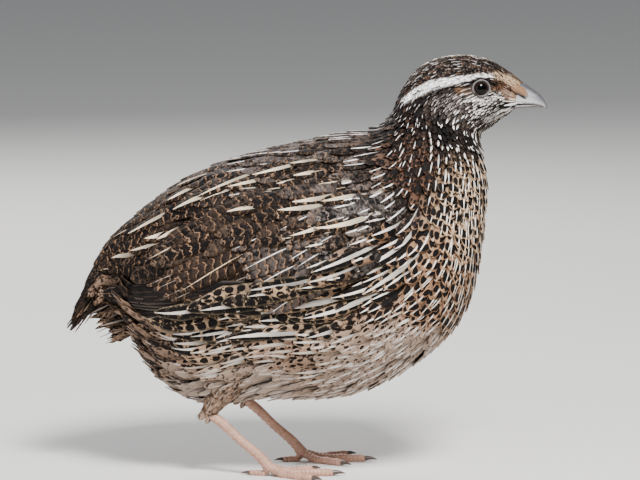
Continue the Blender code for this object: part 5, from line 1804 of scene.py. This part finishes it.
class QUAIL_OT_legs(bpy.types.Operator):
    """Scaled shanks and toes, and the claws"""

    bl_idname = "quail.legs"
    bl_label = "Legs"

    def execute(self, context):
        for name in SIDES:
            finished(leg_mesh(name), leg_material(), "leg_skin", f"shank_{name}", f"foot_{name}")
            _, _, foot = leg_points(name)
            for toe in TOES:
                way = toe_way(toe, name)
                start = foot * (1, 1, 0) + way * (toe.length - 0.5) + (0, 0, toe.radius - SOLE_CUT)
                length = CLAW_LENGTH * toe.radius / TOES[1].radius + 0.5
                shares = np.linspace(0, 1, 24)
                arch = CLAW_ARCH * np.sin(math.pi * shares) - CLAW_DROP * shares
                path = start + way * length * shares[:, None] + np.outer(arch, (0, 0, 1))
                radii = CLAW_ROOT * toe.radius * (1 - CLAW_TAPER * shares**1.4)
                claw = tube(f"claw_horn_{name}_{toe.name}", path, radii, 24)
                finished(claw, claw_material(), "claw_horn", f"claw_{name}_{toe.name}")
        return {"FINISHED"}


# The picture: 640 pixels wide, and the width of what it shows at the bird's distance.
PICTURE_WIDTH = 214.4
PICTURE_MIDDLE = (4.7, 0.0, 77.7)
SENSOR = 36.0


def area_light(name, place, target, size, power, colour):
    lamp = bpy.data.lights.new(name, "AREA")
    lamp.size = size
    lamp.energy = power
    lamp.color = linear(colour)
    made = bpy.data.objects.new(name, lamp)
    made.location = place
    made.rotation_euler = (Vector(target) - Vector(place)).to_track_quat("-Z", "Y").to_euler()
    bpy.context.scene.collection.objects.link(made)


class QUAIL_OT_stage(bpy.types.Operator):
    """Plain pale floor, soft studio light and the camera"""

    bl_idname = "quail.stage"
    bl_label = "Stage"

    def execute(self, context):
        sizes, colours = settings(), context.scene.quail_colours
        bpy.ops.mesh.primitive_plane_add(size=40.0)
        floor = context.object
        floor.name = "floor"
        shader = {"Roughness": 0.9, "Base Color": (*colours.floor, 1.0)}
        paint, _ = new_material("matt_painted_floor", shader)
        floor.data.materials.append(paint)
        middle = Vector(PICTURE_MIDDLE) * MM
        azimuth, elevation = sizes.camera_azimuth, sizes.camera_elevation
        flat = math.cos(elevation)
        back = Vector((math.sin(azimuth) * flat, -math.cos(azimuth) * flat, math.sin(elevation)))
        camera = bpy.data.cameras.new("camera")
        camera.sensor_width = SENSOR
        camera.lens = SENSOR * sizes.camera_distance / (PICTURE_WIDTH * MM)
        camera.clip_start, camera.clip_end = 0.05, 100.0
        placed = bpy.data.objects.new("camera", camera)
        placed.location = middle + back * sizes.camera_distance
        placed.rotation_euler = (-back).to_track_quat("-Z", "Y").to_euler()
        context.scene.collection.objects.link(placed)
        context.scene.camera = placed
        area_light("key", (0.25, -0.6, 0.85), middle, 0.3, 25.0, "#FFFFFF")
        area_light("fill", (-0.9, -0.7, 0.35), middle, 0.8, 4.0, "#E9F0FF")
        area_light("back", (-0.3, 0.8, 0.7), middle, 0.5, 9.0, "#FFFFFF")
        world = bpy.data.worlds.new("studio")
        world.use_nodes = True
        sky = world.node_tree.nodes["Background"].inputs
        sky["Color"].default_value = (*linear("#E8ECF2"), 1.0)
        sky["Strength"].default_value = 0.35
        context.scene.world = world
        return {"FINISHED"}


class QUAIL_PT_panel(bpy.types.Panel):
    """The quail's settings and the steps that build it"""

    bl_idname = "QUAIL_PT_panel"
    bl_label = "Coturnix quail"
    bl_space_type = "VIEW_3D"
    bl_region_type = "UI"
    bl_category = "Quail"

    def draw(self, context):
        for group in (context.scene.quail_sizes, context.scene.quail_colours):
            box = self.layout.box()
            for name in group.__annotations__:
                box.prop(group, name)
        for operator in OPERATORS:
            self.layout.operator(operator.bl_idname)


OPERATORS = (QUAIL_OT_skin, QUAIL_OT_coat, QUAIL_OT_wings, QUAIL_OT_tail, QUAIL_OT_eyes, QUAIL_OT_bill,
             QUAIL_OT_legs, QUAIL_OT_stage)
CLASSES = (QuailColours, QuailSizes, *OPERATORS, QUAIL_PT_panel)


def register():
    for kind in CLASSES:
        bpy.utils.register_class(kind)
    bpy.types.Scene.quail_colours = bpy.props.PointerProperty(type=QuailColours)
    bpy.types.Scene.quail_sizes = bpy.props.PointerProperty(type=QuailSizes)


def unregister():
    del bpy.types.Scene.quail_sizes
    del bpy.types.Scene.quail_colours
    for kind in reversed(CLASSES):
        bpy.utils.unregister_class(kind)


def main():
    register()
    bpy.ops.quail.skin()
    bpy.ops.quail.coat()
    bpy.ops.quail.wings()
    bpy.ops.quail.tail()
    bpy.ops.quail.eyes()
    bpy.ops.quail.bill()
    bpy.ops.quail.legs()
    bpy.ops.quail.stage()


if __name__ == "__main__":
    main()
